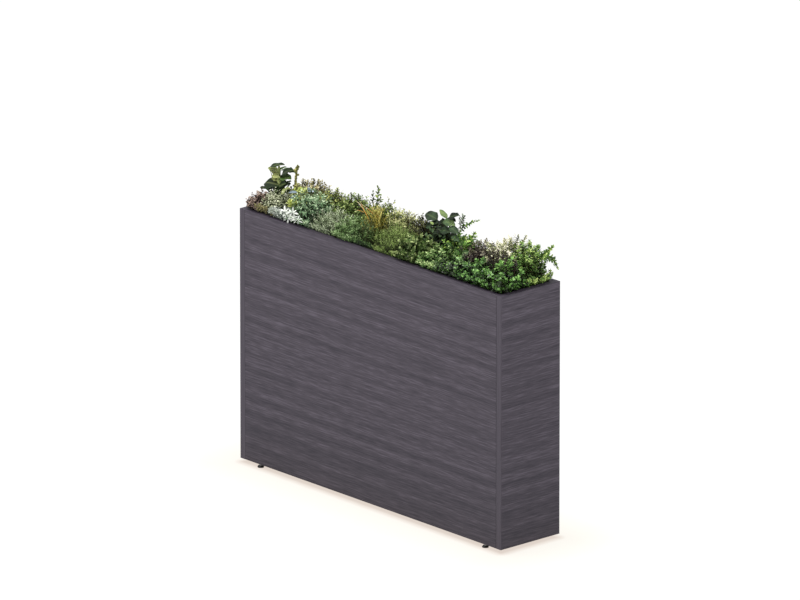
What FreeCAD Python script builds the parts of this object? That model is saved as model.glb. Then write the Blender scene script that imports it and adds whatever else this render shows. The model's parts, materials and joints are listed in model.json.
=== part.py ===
import FreeCAD, Part
import math
import os
import re

import Sketcher
from FreeCAD import Placement, Rotation, Vector

# A free-standing planter divider of bar height: a tall, narrow case of laminated
# boards on four levelling feet, with three lift-out liners of greenery in its open top.
# X runs along the case, the front face looks towards -Y, Z is up, and the origin is
# the middle of the footprint on the floor. All sizes are millimetres.

doc = FreeCAD.newDocument("planter_divider")
sheet = doc.addObject("Spreadsheet::Sheet", "sizes")
layout = doc.addObject("App::FeaturePython", "layout")

# Driving sizes

SIZES = {
    # case
    "case_length": 1524.0,
    "case_depth": 305.0,
    "panel_height": 1025.0,
    "foot_gap": 16.0,
    "board": 28.6,
    "inner_board": 19.0,
    "band": 2.0,
    "band_round": 1.2,
    # shelf, cleats and base
    "shelf_drop": 190.0,
    "fit_gap": 0.5,
    "cleat_width": 38.0,
    "cleat_thick": 19.0,
    "base_raise": 40.0,
    # knock-down fittings
    "cam_radius": 7.5,
    "cam_below": 3.5,
    "cam_setback": 34.0,
    "cam_margin": 100.0,
    "cam_play": 0.05,
    "bolt_radius": 3.5,
    "bolt_waist": 3.0,
    "bolt_bite": 11.0,
    "bolt_head": 4.0,
    "dowel_radius": 4.0,
    "dowel_length": 30.0,
    "dowel_end_gap": 1.0,
    "screw_radius": 2.0,
    "screw_head": 4.0,
    "screw_sink": 2.4,
    "screw_length": 35.0,
    "screw_edge": 60.0,
    # levelling feet
    "foot_inset": 105.0,
    "pad_radius": 13.0,
    "pad_shoulder": 9.0,
    "pad_edge": 4.0,
    "pad_height": 8.0,
    "pad_floor": 2.5,
    "swivel_radius": 6.0,
    "swivel_thick": 2.5,
    "swivel_play": 0.05,
    "neck_radius": 3.5,
    "nut_radius": 7.5,
    "nut_height": 4.5,
    "nut_lift": 0.5,
    "stem_radius": 4.0,
    "stem_reach": 40.0,
    "stem_play": 0.05,
    "insert_radius": 6.5,
    "insert_length": 25.0,
    "stem_room": 5.0,
    # liners
    "liner_gap": 4.0,
    "liner_height": 170.0,
    "liner_wall": 2.5,
    "liner_lip": 9.0,
    "liner_draft": 8.0,
    "liner_corner": 14.0,
    "lip_corner": 18.0,
    "foam_gap": 0.6,
    "foam_height": 130.0,
    "moss_thick": 25.0,
    # greenery
    "leaf_gap": 3.0,
    "root_radius": 3.0,
    "root_depth": 60.0,
    "blade_radius": 3.0,
    "leaf_thick": 2.0,
    "broad_leaf": 52.0,
    "small_leaf": 24.0,
}

LINER_COUNT = 3
CELLS_ALONG = 4
CELLS_ACROSS = 2
FOOT_SIDES = {
    "front_left": (-1, -1),
    "front_right": (1, -1),
    "back_left": (-1, 1),
    "back_right": (1, 1),
}
LINER_NAMES = ["left", "middle", "right"]

# Each plant: its form, its liner, its place in cells from the liner's middle along X and
# across Y, its spread in cells, and how far it stands above the rim.
PLANTS = {
    "burgundy_sprig": ("mound", 0, -1.75, -0.76, 0.47, 73.0),
    "sage_mound": ("mound", 0, -1.17, -0.57, 0.71, 92.0),
    "tall_broadleaf": ("broadleaf", 0, -1.64, -0.06, 0.65, 165.0),
    "bead_spike": ("spike", 0, -1.56, 0.66, 0.61, 150.0),
    "silver_lace_leaf": ("mound", 0, -0.46, -0.69, 0.61, 50.0),
    "lime_rosettes": ("mound", 0, -0.91, 0.05, 0.65, 90.0),
    "brown_tip_bush": ("mound", 0, -0.79, 0.67, 0.61, 113.0),
    "blue_green_sedum": ("mound", 0, 0.40, -0.49, 0.93, 118.0),
    "olive_bush": ("mound", 0, 0.16, 0.51, 0.94, 109.0),
    "gray_juniper": ("mound", 0, 1.45, -0.49, 0.94, 96.0),
    "olive_sprig_bush": ("sprig", 0, 1.22, 0.51, 0.94, 131.0),
    "green_juniper": ("mound", 1, -1.5, -0.5, 0.98, 85.0),
    "orange_twig_sprig": ("sprig", 1, -1.5, 0.5, 0.98, 200.0),
    "golden_grass": ("tuft", 1, -0.5, -0.5, 0.98, 150.0),
    "feather_sprig": ("sprig", 1, -0.5, 0.5, 0.98, 165.0),
    "moss_green_bush": ("mound", 1, 0.5, -0.5, 0.98, 105.0),
    "speckled_bush": ("mound", 1, 0.5, 0.5, 0.98, 140.0),
    "fleshy_leaf_bush": ("mound", 1, 1.5, -0.5, 0.98, 96.0),
    "round_leaf_plant": ("broadleaf", 1, 1.5, 0.5, 0.98, 180.0),
    "light_green_bush": ("mound", 2, -1.5, -0.5, 0.98, 85.0),
    "lime_sprig_bush": ("sprig", 2, -1.5, 0.5, 0.98, 153.0),
    "left_boxwood": ("mound", 2, -0.5, -0.5, 0.98, 76.0),
    "purple_leaf_bush": ("mound", 2, -0.5, 0.5, 0.98, 100.0),
    "middle_boxwood": ("mound", 2, 0.5, -0.5, 0.98, 90.0),
    "cream_tip_bush": ("sprig", 2, 0.5, 0.5, 0.98, 165.0),
    "right_boxwood": ("mound", 2, 1.5, -0.5, 0.98, 100.0),
    "drooping_sprig_bush": ("sprig", 2, 1.5, 0.5, 0.98, 160.0),
}

for plant, facts in PLANTS.items():
    SIZES[plant + "_rise"] = facts[-1]

for row, (alias, number) in enumerate(SIZES.items(), start=1):
    sheet.set(f"A{row}", alias)
    sheet.set(f"B{row}", str(number))
    sheet.setAlias(f"B{row}", alias)
doc.recompute()


def size(alias):
    """A driving size as a plain number, read from the sheet."""
    return float(getattr(sheet, alias))


def formula(text):
    """An expression on aliases, with each alias led back to the sheet or the layout."""

    def owner(match):
        word = match.group(0)
        if word in SIZES:
            return "sizes." + word
        if word in layout.PropertiesList:
            return "layout." + word
        return word

    return re.sub(r"[a-z_]+", owner, text)


def bind(obj, path, text):
    """Tie one property of an object to the sheet."""
    obj.setExpression(path, formula(text))


# Places worked out from the driving sizes

LAYOUT = {
    "inner_length": "case_length - 2 * board",
    "inner_depth": "case_depth - 2 * board",
    "rim": "foot_gap + panel_height",
    "panel_line": "case_depth / 2 - board / 2",
    "end_line": "case_length / 2 - board / 2",
    "base_bottom": "foot_gap + base_raise",
    "base_top": "base_bottom + inner_board",
    "shelf_top": "rim - shelf_drop",
    "shelf_bottom": "shelf_top - inner_board",
    "foot_line": "case_length / 2 - foot_inset",
    "nut_bottom": "pad_height + nut_lift",
    "stem_top": "foot_gap + stem_reach",
    "liner_pitch": f"inner_length / {LINER_COUNT}",
    "lip_length": "liner_pitch - 2 * liner_gap",
    "lip_width": "inner_depth - 2 * liner_gap",
    "liner_top": "shelf_top + liner_height",
    "foam_top": "shelf_top + liner_wall + foam_height",
    "crown_foot": "liner_top + leaf_gap",
    "cell_along": f"liner_pitch / {CELLS_ALONG}",
    "cell_across": f"inner_depth / {CELLS_ACROSS}",
    "slope": "liner_draft / (liner_height - liner_wall)",
}

for name, text in LAYOUT.items():
    layout.addProperty("App::PropertyFloat", name)
    bind(layout, name, text)
    doc.recompute()


def place(name):
    """A worked-out size or height as a plain number."""
    return float(getattr(layout, name))


NODES = {}


def keep(obj, label):
    """Give a finished sub-part its own label and list it for export."""
    obj.Label = label
    NODES[label] = obj
    return obj


# Small building blocks

def put(obj, x, y, z):
    """Place an object by three expressions."""
    bind(obj, "Placement.Base.x", x)
    bind(obj, "Placement.Base.y", y)
    bind(obj, "Placement.Base.z", z)
    return obj


def rod(name, radius, height, x, y, z):
    """An upright cylinder that starts at x, y, z."""
    obj = doc.addObject("Part::Cylinder", name)
    bind(obj, "Radius", radius)
    bind(obj, "Height", height)
    return put(obj, x, y, z)


def block(name, wide, deep, high, x, y, z):
    """A box given by its sizes and its lowest corner."""
    obj = doc.addObject("Part::Box", name)
    bind(obj, "Length", wide)
    bind(obj, "Width", deep)
    bind(obj, "Height", high)
    return put(obj, x, y, z)


def group(name, pieces):
    """Several objects as one compound."""
    obj = doc.addObject("Part::Compound", name)
    obj.Links = pieces
    return obj


def fuse(name, pieces):
    """Several overlapping objects as one solid."""
    obj = doc.addObject("Part::MultiFuse", name)
    obj.Shapes = pieces
    return obj


def cut(name, base, tool):
    """One object with another taken away."""
    obj = doc.addObject("Part::Cut", name)
    obj.Base = base
    obj.Tool = tool
    return obj


def origin_plane(body, role):
    """One of a body's own origin planes."""
    return next(plane for plane in body.Origin.OriginFeatures if plane.Role == role)


# Half the side of a rectangle as first drawn, before its sizes are bound
DRAFT_HALF = 50.0


def rectangle(body, name, role, wide, high, lift="0"):
    """A rectangle round the body's origin on one of its planes, lifted off by an offset."""
    sketch = body.newObject("Sketcher::SketchObject", name)
    sketch.AttachmentSupport = [(origin_plane(body, role), "")]
    sketch.MapMode = "FlatFace"
    bind(sketch, "AttachmentOffset.Base.z", lift)
    corners = [Vector(sx * DRAFT_HALF, sy * DRAFT_HALF, 0) for sx, sy in ((-1, -1), (1, -1), (1, 1), (-1, 1))]
    for side in range(4):
        sketch.addGeometry(Part.LineSegment(corners[side], corners[(side + 1) % 4]))
    for side in range(4):
        sketch.addConstraint(Sketcher.Constraint("Coincident", side, 2, (side + 1) % 4, 1))
    for side, way in enumerate(["Horizontal", "Vertical", "Horizontal", "Vertical"]):
        sketch.addConstraint(Sketcher.Constraint(way, side))
    sketch.addConstraint(Sketcher.Constraint("Symmetric", 0, 1, 2, 1, -1, 1))
    for side, way, key, text in [(0, "DistanceX", "wide", wide), (1, "DistanceY", "high", high)]:
        index = sketch.addConstraint(Sketcher.Constraint(way, side, 1, side, 2, 2 * DRAFT_HALF))
        sketch.renameConstraint(index, key)
        bind(sketch, "Constraints." + key, text)
    return sketch


def pad(body, name, sketch, thick, side_type="Symmetric"):
    """Thicken a sketch, evenly to both sides unless told otherwise."""
    feature = body.newObject("PartDesign::Pad", name)
    feature.Profile = sketch
    feature.SideType = side_type
    bind(feature, "Length", thick)
    doc.recompute()
    return feature


def fillet(body, name, base, radius, wanted):
    """Round the edges of the base feature that the test picks."""
    picked = [f"Edge{n}" for n, edge in enumerate(base.Shape.Edges, start=1) if wanted(edge)]
    feature = body.newObject("PartDesign::Fillet", name)
    feature.Base = (base, picked)
    bind(feature, "Radius", radius)
    doc.recompute()
    return feature


def board(name, role, wide, high, thick, x, y, z):
    """A flat board as a body: a rectangle on one plane, thickened evenly, then placed."""
    body = doc.addObject("PartDesign::Body", name)
    pad(body, name + "_pad", rectangle(body, name + "_outline", role, wide, high), thick)
    return put(body, x, y, z)


# Shapes that are repeated at many places

def repeated(name, shape, places):
    """One shape at every place, kept as separate solids of one group."""
    obj = doc.addObject("Part::Feature", name)
    obj.Shape = Part.makeCompound([shape.transformed(spot.toMatrix()) for spot in places])
    return obj


def spot(x, y, z, along, up):
    """A place whose local X runs along one direction and local Z towards another."""
    turn = Rotation(along, up.cross(along), up, "XZY")
    return Placement(Vector(x, y, z), turn)


def tube(radius, start, stop):
    """A plain cylinder on the local X axis between two stations."""
    return Part.makeCylinder(radius, stop - start, Vector(start, 0, 0), Vector(1, 0, 0))


def cam_bore(thick):
    """The housing's round, from just below the bolt line up to the board's face."""
    depth = thick / 2 + size("cam_below")
    corner = Vector(size("cam_setback"), 0, -size("cam_below"))
    return Part.makeCylinder(size("cam_radius"), depth, corner, Vector(0, 0, 1))


def cam_bolt():
    """A bolt screwed into one board, with a waist and a head that the cam pulls."""
    neck = size("cam_setback") - size("bolt_head")
    bite = tube(size("bolt_radius"), -size("bolt_bite"), 0)
    waist = tube(size("bolt_waist"), 0, neck)
    head = tube(size("bolt_radius"), neck, size("cam_setback"))
    return bite.fuse([waist, head])


def cam_housing(thick):
    """The cam with its radial slot, open towards the joint, where the bolt's head sits."""
    slot = tube(size("bolt_radius") + size("cam_play"), 0, size("cam_setback") + size("fit_gap"))
    return cam_bore(thick).cut(slot)


def cam_drilling(thick):
    """What is bored out of the two boards for one bolt and its cam."""
    clearance = tube(size("bolt_radius") + size("cam_play"), 0, size("cam_setback"))
    thread = tube(size("bolt_radius"), -size("bolt_bite"), 0)
    return cam_bore(thick).fuse([clearance, thread])


def screw():
    """A countersunk wood screw on the local X axis, its head flush at zero."""
    sink = size("screw_sink")
    tip = size("screw_length") - 2 * size("screw_radius")
    axis = Vector(1, 0, 0)
    head = Part.makeCone(size("screw_head"), size("screw_radius"), sink, Vector(), axis)
    shank = tube(size("screw_radius"), sink, tip)
    point = Part.makeCone(size("screw_radius"), 0, size("screw_length") - tip, Vector(tip, 0, 0), axis)
    return head.fuse([shank, point])


X = Vector(1, 0, 0)
Y = Vector(0, 1, 0)
Z = Vector(0, 0, 1)
SIDES = (-1, 1)
NEARLY_ALONG = 0.9

# Where the knock-down fittings and the screws sit

low_cam = size("foot_gap") + size("cam_margin")
high_cam = place("rim") - size("cam_margin")
middle_cam = (low_cam + high_cam) / 2
half_length = place("inner_length") / 2
half_depth = place("inner_depth") / 2
base_middle = place("base_bottom") + size("inner_board") / 2

corner_cams = [
    spot(sx * half_length, sy * place("panel_line"), z, -sx * X, -sy * Y)
    for sx in SIDES for sy in SIDES for z in (low_cam, middle_cam, high_cam)
]
base_cams = [
    spot(third * place("liner_pitch"), sy * half_depth, base_middle, -sy * Y, -Z)
    for third in (-1, 0, 1) for sy in SIDES
]
divider_cams = [
    spot(0, sy * half_depth, z, -sy * Y, X)
    for sy in SIDES
    for z in (place("base_top") + size("cam_margin"), place("shelf_bottom") - 2 * size("cam_margin"))
]
corner_dowels = [
    spot(sx * half_length, sy * place("panel_line"), z, -sx * X, Z)
    for sx in SIDES for sy in SIDES
    for z in ((low_cam + middle_cam) / 2, (middle_cam + high_cam) / 2)
]
base_dowels = [
    spot(sx * half_length, sy * half_depth / 2, base_middle, -sx * X, Z)
    for sx in SIDES for sy in SIDES
]
cleat_line = half_depth - size("cleat_thick") / 2
end_cleat_line = half_length - size("cleat_thick") / 2
cleat_middle = place("shelf_bottom") - size("cleat_width") / 2
shelf_screws = [
    spot(eighth * place("inner_length") / 8, sy * cleat_line, place("shelf_top"), -Z, X)
    for eighth in (-3, -1, 1, 3) for sy in SIDES
] + [spot(sx * end_cleat_line, 0, place("shelf_top"), -Z, X) for sx in SIDES]
cleat_screws = [
    spot(x, sy * (half_depth - size("cleat_thick")), cleat_middle, sy * Y, Z)
    for x in (size("screw_edge") - half_length, -half_length / 2, half_length / 2,
              half_length - size("screw_edge"))
    for sy in SIDES
] + [
    spot(sx * (half_length - size("cleat_thick")), sy * half_depth / 2, cleat_middle, sx * X, Z)
    for sx in SIDES for sy in SIDES
]

housings = [
    repeated("corner_housings", cam_housing(size("board")), corner_cams),
    repeated("inner_housings", cam_housing(size("inner_board")), base_cams + divider_cams),
]
keep(group("cam_housings", housings), "cam_housings")
keep(repeated("cam_bolts", cam_bolt(), corner_cams + base_cams + divider_cams), "cam_bolts")
half_dowel = size("dowel_length") / 2
dowel = tube(size("dowel_radius"), -half_dowel, half_dowel)
keep(repeated("dowels", dowel, corner_dowels + base_dowels), "dowels")
keep(repeated("wood_screws", screw(), shelf_screws + cleat_screws), "wood_screws")

dowel_hole = half_dowel + size("dowel_end_gap")
drilling = group("drilling", [
    repeated("corner_drilling", cam_drilling(size("board")), corner_cams),
    repeated("inner_drilling", cam_drilling(size("inner_board")), base_cams + divider_cams),
    repeated("dowel_drilling", tube(size("dowel_radius"), -dowel_hole, dowel_hole),
             corner_dowels + base_dowels),
    repeated("screw_drilling", screw(), shelf_screws + cleat_screws),
])

# Levelling feet: a swivel pad, a threaded stem with a hexagon, and an insert in the case

inserts = []
foot_bores = []
for corner, (sx, sy) in FOOT_SIDES.items():
    x = f"{sx} * foot_line"
    y = f"{sy} * panel_line"
    outer = rod(corner + "_insert_outer", "insert_radius", "insert_length", x, y, "foot_gap")
    thread = rod(corner + "_insert_thread", "stem_radius + stem_play", "insert_length", x, y, "foot_gap")
    inserts.append(cut(corner + "_insert", outer, thread))
    pocket = rod(corner + "_insert_pocket", "insert_radius", "insert_length", x, y, "foot_gap")
    room = rod(corner + "_stem_room", "stem_radius + fit_gap", "stem_reach + stem_room", x, y, "foot_gap")
    foot_bores.append(fuse(corner + "_foot_bore", [pocket, room]))

    edge = rod(corner + "_pad_edge", "pad_radius", "pad_edge", x, y, "0")
    shoulder = doc.addObject("Part::Cone", corner + "_pad_shoulder")
    bind(shoulder, "Radius1", "pad_radius")
    bind(shoulder, "Radius2", "pad_shoulder")
    bind(shoulder, "Height", "pad_height - pad_edge")
    put(shoulder, x, y, "pad_edge")
    seat = rod(corner + "_pad_seat", "swivel_radius + swivel_play",
               "swivel_thick + 2 * swivel_play", x, y, "pad_floor - swivel_play")
    mouth = rod(corner + "_pad_mouth", "neck_radius + swivel_play", "pad_height", x, y, "pad_floor")
    solid_pad = fuse(corner + "_pad_solid", [edge, shoulder])
    socket = fuse(corner + "_pad_socket", [seat, mouth])
    keep(cut(corner + "_pad_cut", solid_pad, socket), corner + "_foot_pad")

    swivel = rod(corner + "_swivel", "swivel_radius", "swivel_thick", x, y, "pad_floor")
    neck = rod(corner + "_neck", "neck_radius", "nut_bottom - pad_floor", x, y, "pad_floor")
    nut = doc.addObject("Part::Prism", corner + "_nut")
    nut.Polygon = 6
    bind(nut, "Circumradius", "nut_radius")
    bind(nut, "Height", "nut_height")
    put(nut, x, y, "nut_bottom")
    shank = rod(corner + "_shank", "stem_radius", "stem_top - nut_bottom", x, y, "nut_bottom")
    keep(fuse(corner + "_stem", [swivel, neck, nut, shank]), corner + "_foot_stem")

keep(group("inserts", inserts), "foot_inserts")
foot_drilling = group("foot_drilling", foot_bores)
all_drilling = group("all_drilling", [drilling, foot_drilling])

# The case: four laminated boards, their edge bands, the base, the divider and the shelf

core_height = "panel_height - 2 * band"
core_middle = "foot_gap + panel_height / 2"
for name, side in (("front", "-1"), ("back", "1")):
    blank = board(name + "_blank", "XZ_Plane", "inner_length", core_height, "board",
                  "0", side + " * panel_line", core_middle)
    keep(cut(name + "_drilled", blank, all_drilling), name + "_panel")
for name, side in (("left_end", "-1"), ("right_end", "1")):
    blank = board(name + "_blank", "YZ_Plane", "case_depth - 2 * band", core_height, "board",
                  side + " * end_line", "0", core_middle)
    keep(cut(name + "_drilled", blank, drilling), name + "_panel")


def strip(name, role, wide, high, x, y, z, outward, run):
    """An edge band: a thin board whose two long outer edges are rounded."""
    body = board(name, role, wide, high, "band", x, y, z)
    skin = body.Tip

    def outer_long(edge):
        first, last = edge.Vertexes[0].Point, edge.Vertexes[-1].Point
        lengthwise = abs((last - first).normalize().dot(run)) > NEARLY_ALONG
        return lengthwise and first.dot(outward) > 0 and last.dot(outward) > 0

    fillet(body, name + "_round", skin, "band_round", outer_long)
    return body


top_strips = []
low_strips = []
upright_strips = []
top_line = "rim - band / 2"
low_line = "foot_gap + band / 2"
for name, side in (("front", "-1"), ("back", "1")):
    y = side + " * panel_line"
    along = ("XY_Plane", "inner_length", "board", "0", y)
    top_strips.append(strip(name + "_top_strip", *along, top_line, Z, X))
    low_strips.append(strip(name + "_low_strip", *along, low_line, -Z, X))
for name, side in (("left", "-1"), ("right", "1")):
    x = side + " * end_line"
    across = ("XY_Plane", "board", "case_depth - 2 * band", x, "0")
    top_strips.append(strip(name + "_top_strip", *across, top_line, Z, Y))
    low_strips.append(strip(name + "_low_strip", *across, low_line, -Z, Y))
    for face, sign, outward in (("front", "-1", -Y), ("back", "1", Y)):
        y = sign + " * (case_depth / 2 - band / 2)"
        upright_strips.append(strip(f"{name}_{face}_strip", "XZ_Plane", "board", "panel_height",
                                    x, y, core_middle, outward, Z))
keep(group("top_strips", top_strips), "top_edge_bands")
keep(group("upright_strips", upright_strips), "upright_edge_bands")
keep(cut("low_strips_drilled", group("low_strips", low_strips), foot_drilling), "bottom_edge_bands")

base = board("base_blank", "XY_Plane", "inner_length", "inner_depth", "inner_board",
             "0", "0", "base_bottom + inner_board / 2")
keep(cut("base_drilled", base, drilling), "base_panel")

divider_height = "shelf_bottom - base_top"
divider = board("divider_blank", "YZ_Plane", "inner_depth", divider_height, "inner_board",
                "0", "0", "base_top + (shelf_bottom - base_top) / 2")
notches = [
    block(name + "_notch", "inner_board", "cleat_thick + fit_gap", "cleat_width + fit_gap",
          "-inner_board / 2", y, "shelf_bottom - cleat_width - fit_gap")
    for name, y in (("front", "-inner_depth / 2"), ("back", "inner_depth / 2 - cleat_thick - fit_gap"))
]
notched = cut("divider_notched", divider, group("notches", notches))
keep(cut("divider_drilled", notched, drilling), "center_divider")

shelf = board("shelf_blank", "XY_Plane", "inner_length - 2 * fit_gap", "inner_depth - 2 * fit_gap",
              "inner_board", "0", "0", "shelf_bottom + inner_board / 2")
keep(cut("shelf_drilled", shelf, drilling), "planter_shelf")

cleat_z = "shelf_bottom - cleat_width"
cleats = [
    block("front_cleat", "inner_length - 2 * cleat_thick", "cleat_thick", "cleat_width",
          "cleat_thick - inner_length / 2", "-inner_depth / 2", cleat_z),
    block("back_cleat", "inner_length - 2 * cleat_thick", "cleat_thick", "cleat_width",
          "cleat_thick - inner_length / 2", "inner_depth / 2 - cleat_thick", cleat_z),
    block("left_cleat", "cleat_thick", "inner_depth", "cleat_width",
          "-inner_length / 2", "-inner_depth / 2", cleat_z),
    block("right_cleat", "cleat_thick", "inner_depth", "cleat_width",
          "inner_length / 2 - cleat_thick", "-inner_depth / 2", cleat_z),
]
keep(cut("cleats_drilled", group("cleats", cleats), drilling), "shelf_cleats")

# Liners: a tapered tray with a lip, a block of foam that fits it, and moss on the foam


def tapered(name, floor, height, inset):
    """A block inside the liner's own walls, drawn outwards by the draft as it rises."""
    body = doc.addObject("PartDesign::Body", name)
    foot = f"2 * ({inset} + liner_lip + liner_draft - slope * ({floor}))"
    low = rectangle(body, name + "_foot", "XY_Plane", "lip_length - " + foot, "lip_width - " + foot, floor)
    solid = pad(body, name + "_pad", low, height, "One side")
    bind(solid, "TaperAngle", "atan(slope)")
    doc.recompute()
    fillet(body, name + "_corners", solid, "liner_corner - " + inset, upright)
    return body


def upright(edge):
    """True for an edge that climbs as much as it can, such as a tapered corner."""
    first, last = edge.Vertexes[0].Point, edge.Vertexes[-1].Point
    return abs((last - first).normalize().z) > NEARLY_ALONG


def liner_tray(name, x):
    """The liner: a tapered block with a lip plate, hollowed by a tapered block one wall smaller."""
    body = tapered(name, "0", "liner_height", "0")
    lip = rectangle(body, name + "_lip", "XY_Plane", "lip_length", "lip_width", "liner_height - liner_wall")
    plate = pad(body, name + "_lip_pad", lip, "liner_wall", "One side")

    def lip_corner(edge):
        far = abs(edge.Vertexes[0].Point.x) > place("lip_length") / 2 - 1
        return far and upright(edge)

    fillet(body, name + "_lip_round", plate, "lip_corner", lip_corner)
    hollow = tapered(name + "_hollow", "liner_wall", "(liner_height - liner_wall)", "liner_wall")
    put(body, x, "0", "shelf_top")
    put(hollow, x, "0", "shelf_top")
    return cut(name + "_cut", body, hollow)


# Greenery: each plant is one root that stands in the foam, with a crown of its own form


# Shares of a crown's own radius or height that give its form
FORM = {
    "balls": 7,
    "ball": 0.36,
    "foot": 0.75,
    "belly": 0.45,
    "widest": 0.97,
    "top": 0.4,
    "leaf_slimness": 0.45,
    "stalk_leaves": 7,
    "shoot_leaves": 6,
    "bead": 2.2,
    "bead_step": 1.5,
    "bead_share": 0.6,
    "blades": 9,
}
GOLDEN_ANGLE = 137.5


def golden_turn(step):
    """Leaves and shoots follow each other round the stem by the golden angle."""
    return GOLDEN_ANGLE * step


def mound(radius, height):
    """A bushy crown: a wide belly that fills its cell, with balls of foliage over its top."""
    ball = FORM["ball"] * radius
    belly = FORM["belly"] * height
    widest = FORM["widest"] * radius
    shapes = [Part.makeCone(widest, FORM["top"] * radius, height - ball - belly, Vector(0, 0, belly))]
    for step in range(FORM["balls"]):
        rise = step / (FORM["balls"] - 1)
        reach = (radius - ball) * math.sqrt(1 - rise ** 2)
        angle = math.radians(golden_turn(step))
        middle = Vector(reach * math.cos(angle), reach * math.sin(angle),
                        belly + rise * (height - ball - belly))
        shapes.append(Part.makeSphere(ball, middle))
    return Part.makeCone(FORM["foot"] * radius, widest, belly).fuse(shapes)


def leaf(length, width, thick):
    """A flat leaf from the origin along X, bounded by two arcs."""
    half = width / 2
    tip = Vector(length, 0, -thick / 2)
    heel = Vector(0, 0, -thick / 2)
    sides = [
        Part.Arc(heel, Vector(length / 2, -half, -thick / 2), tip).toShape(),
        Part.Arc(tip, Vector(length / 2, half, -thick / 2), heel).toShape(),
    ]
    return Part.Face(Part.Wire(sides)).extrude(Vector(0, 0, thick))


def leafy_stalk(foot, top, count, length, lean):
    """A thin upright stalk with leaves that wind up its upper part, each steeper than the last."""
    stalk = Part.makeCone(size("blade_radius"), size("blade_radius") / 2, top - foot, Vector(0, 0, foot))
    flattest, steepest = 20, 70
    bare = 0.35
    shapes = []
    for step in range(count):
        share = (step + 1) / count
        tilt = flattest + (steepest - flattest) * share
        room = top - foot - length * math.sin(math.radians(tilt))
        rise = foot + room * (bare + (1 - bare) * share)
        blade = leaf(length, length * FORM["leaf_slimness"], size("leaf_thick"))
        blade.rotate(Vector(), Y, -tilt)
        blade.rotate(Vector(), Z, golden_turn(step))
        blade.translate(Vector(0, 0, rise))
        shapes.append(blade)
    grown = stalk.fuse(shapes)
    grown.rotate(Vector(0, 0, foot), Y, lean)
    return grown


def broadleaf(radius, height):
    """A crown of half the height with one stalk of large oval leaves."""
    length = min(size("broad_leaf"), radius)
    stalk = leafy_stalk(height / 5, height, FORM["stalk_leaves"], length, 0)
    return mound(radius, height / 2).fuse(stalk)


def sprig(radius, height):
    """A crown with two leafy shoots, of unlike height and lean, that stand out of its top."""
    low_share, foot_share = 0.68, 0.3
    shoots = []
    for step, (share, lean) in enumerate(((1.0, 6), (0.86, 12)), start=1):
        shoot = leafy_stalk(foot_share * height, share * height, FORM["shoot_leaves"],
                            size("small_leaf"), lean)
        shoot.rotate(Vector(), Z, golden_turn(step))
        shoots.append(shoot)
    return mound(radius, low_share * height).fuse(shoots)


def spike(radius, height):
    """A crown of half the height with one upright spike of stacked beads."""
    bead = FORM["bead"] * size("root_radius")
    pitch = FORM["bead_step"] * bead
    count = int(FORM["bead_share"] * height / pitch)
    beads = [Part.makeSphere(bead, Vector(0, 0, height - bead - pitch * step)) for step in range(count)]
    return mound(radius, height / 2).fuse(beads)


def tuft(radius, height):
    """Grass: blades that fan out of a low crown, the outer ones shorter."""
    count = FORM["blades"]
    low_share, foot_share, fan_share, shorter = 0.55, 0.3, 0.8, 0.2
    blade_tip = 0.4
    widest = math.degrees(math.atan2(fan_share * radius, height))
    foot = foot_share * height
    blades = []
    for step in range(count):
        tilt = widest * (step + 1) / count
        reach = height / math.cos(math.radians(tilt)) * (1 - shorter * step / count)
        blade = Part.makeCone(size("blade_radius"), blade_tip, reach - foot, Vector(0, 0, foot))
        blade.rotate(Vector(), Y, tilt)
        blade.rotate(Vector(), Z, golden_turn(step))
        blades.append(blade)
    return mound(radius, low_share * height).fuse(blades)


FORMS = {"mound": mound, "broadleaf": broadleaf, "sprig": sprig, "spike": spike, "tuft": tuft}

cell = min(place("cell_along"), place("cell_across"))
middles = [(index - (LINER_COUNT - 1) / 2) * place("liner_pitch") for index in range(LINER_COUNT)]
roots = [[] for middle in middles]
root_length = place("crown_foot") - place("foam_top") + size("root_depth")
for plant, (form, liner, along, across, spread, rise) in PLANTS.items():
    foot_x = middles[liner] + along * place("cell_along")
    foot = Vector(foot_x, across * place("cell_across"), place("crown_foot"))
    radius = (spread * cell - size("leaf_gap")) / 2
    crown = FORMS[form](radius, place("rim") + size(plant + "_rise") - place("crown_foot"))
    crown.translate(foot)
    root_foot = foot - Vector(0, 0, root_length)
    roots[liner].append(Part.makeCylinder(size("root_radius"), root_length, root_foot))
    grown = doc.addObject("Part::Feature", plant)
    grown.Shape = crown.fuse(roots[liner][-1])
    keep(grown, plant)

for index, name in enumerate(LINER_NAMES):
    x = f"{index - (LINER_COUNT - 1) / 2} * liner_pitch"
    holes = doc.addObject("Part::Feature", name + "_root_holes")
    holes.Shape = Part.makeCompound(roots[index])
    keep(liner_tray(name + "_tray", x), name + "_liner")
    foam = tapered(name + "_foam", "liner_wall", "foam_height", "(liner_wall + foam_gap)")
    moss = tapered(name + "_moss", "(liner_wall + foam_height)", "moss_thick", "(liner_wall + foam_gap)")
    keep(cut(name + "_foam_rooted", put(foam, x, "0", "shelf_top"), holes), name + "_foam_block")
    keep(cut(name + "_moss_rooted", put(moss, x, "0", "shelf_top"), holes), name + "_moss_layer")

doc.recompute()

# Check every object and write one file per sub-part

faults = [obj.Name for obj in doc.Objects if {"Invalid", "Error"} & set(obj.State)]
faults += [label for label, obj in NODES.items() if obj.Shape.isNull() or not obj.Shape.isValid()]
if faults:
    raise RuntimeError("not built: " + ", ".join(faults))

os.makedirs("parts", exist_ok=True)
for label, obj in NODES.items():
    obj.Shape.exportStep(f"parts/{label}.step")
    print(label, len(obj.Shape.Solids), "solids", round(obj.Shape.Volume / 1000), "cm3")
print(len(NODES), "sub-parts written")
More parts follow.
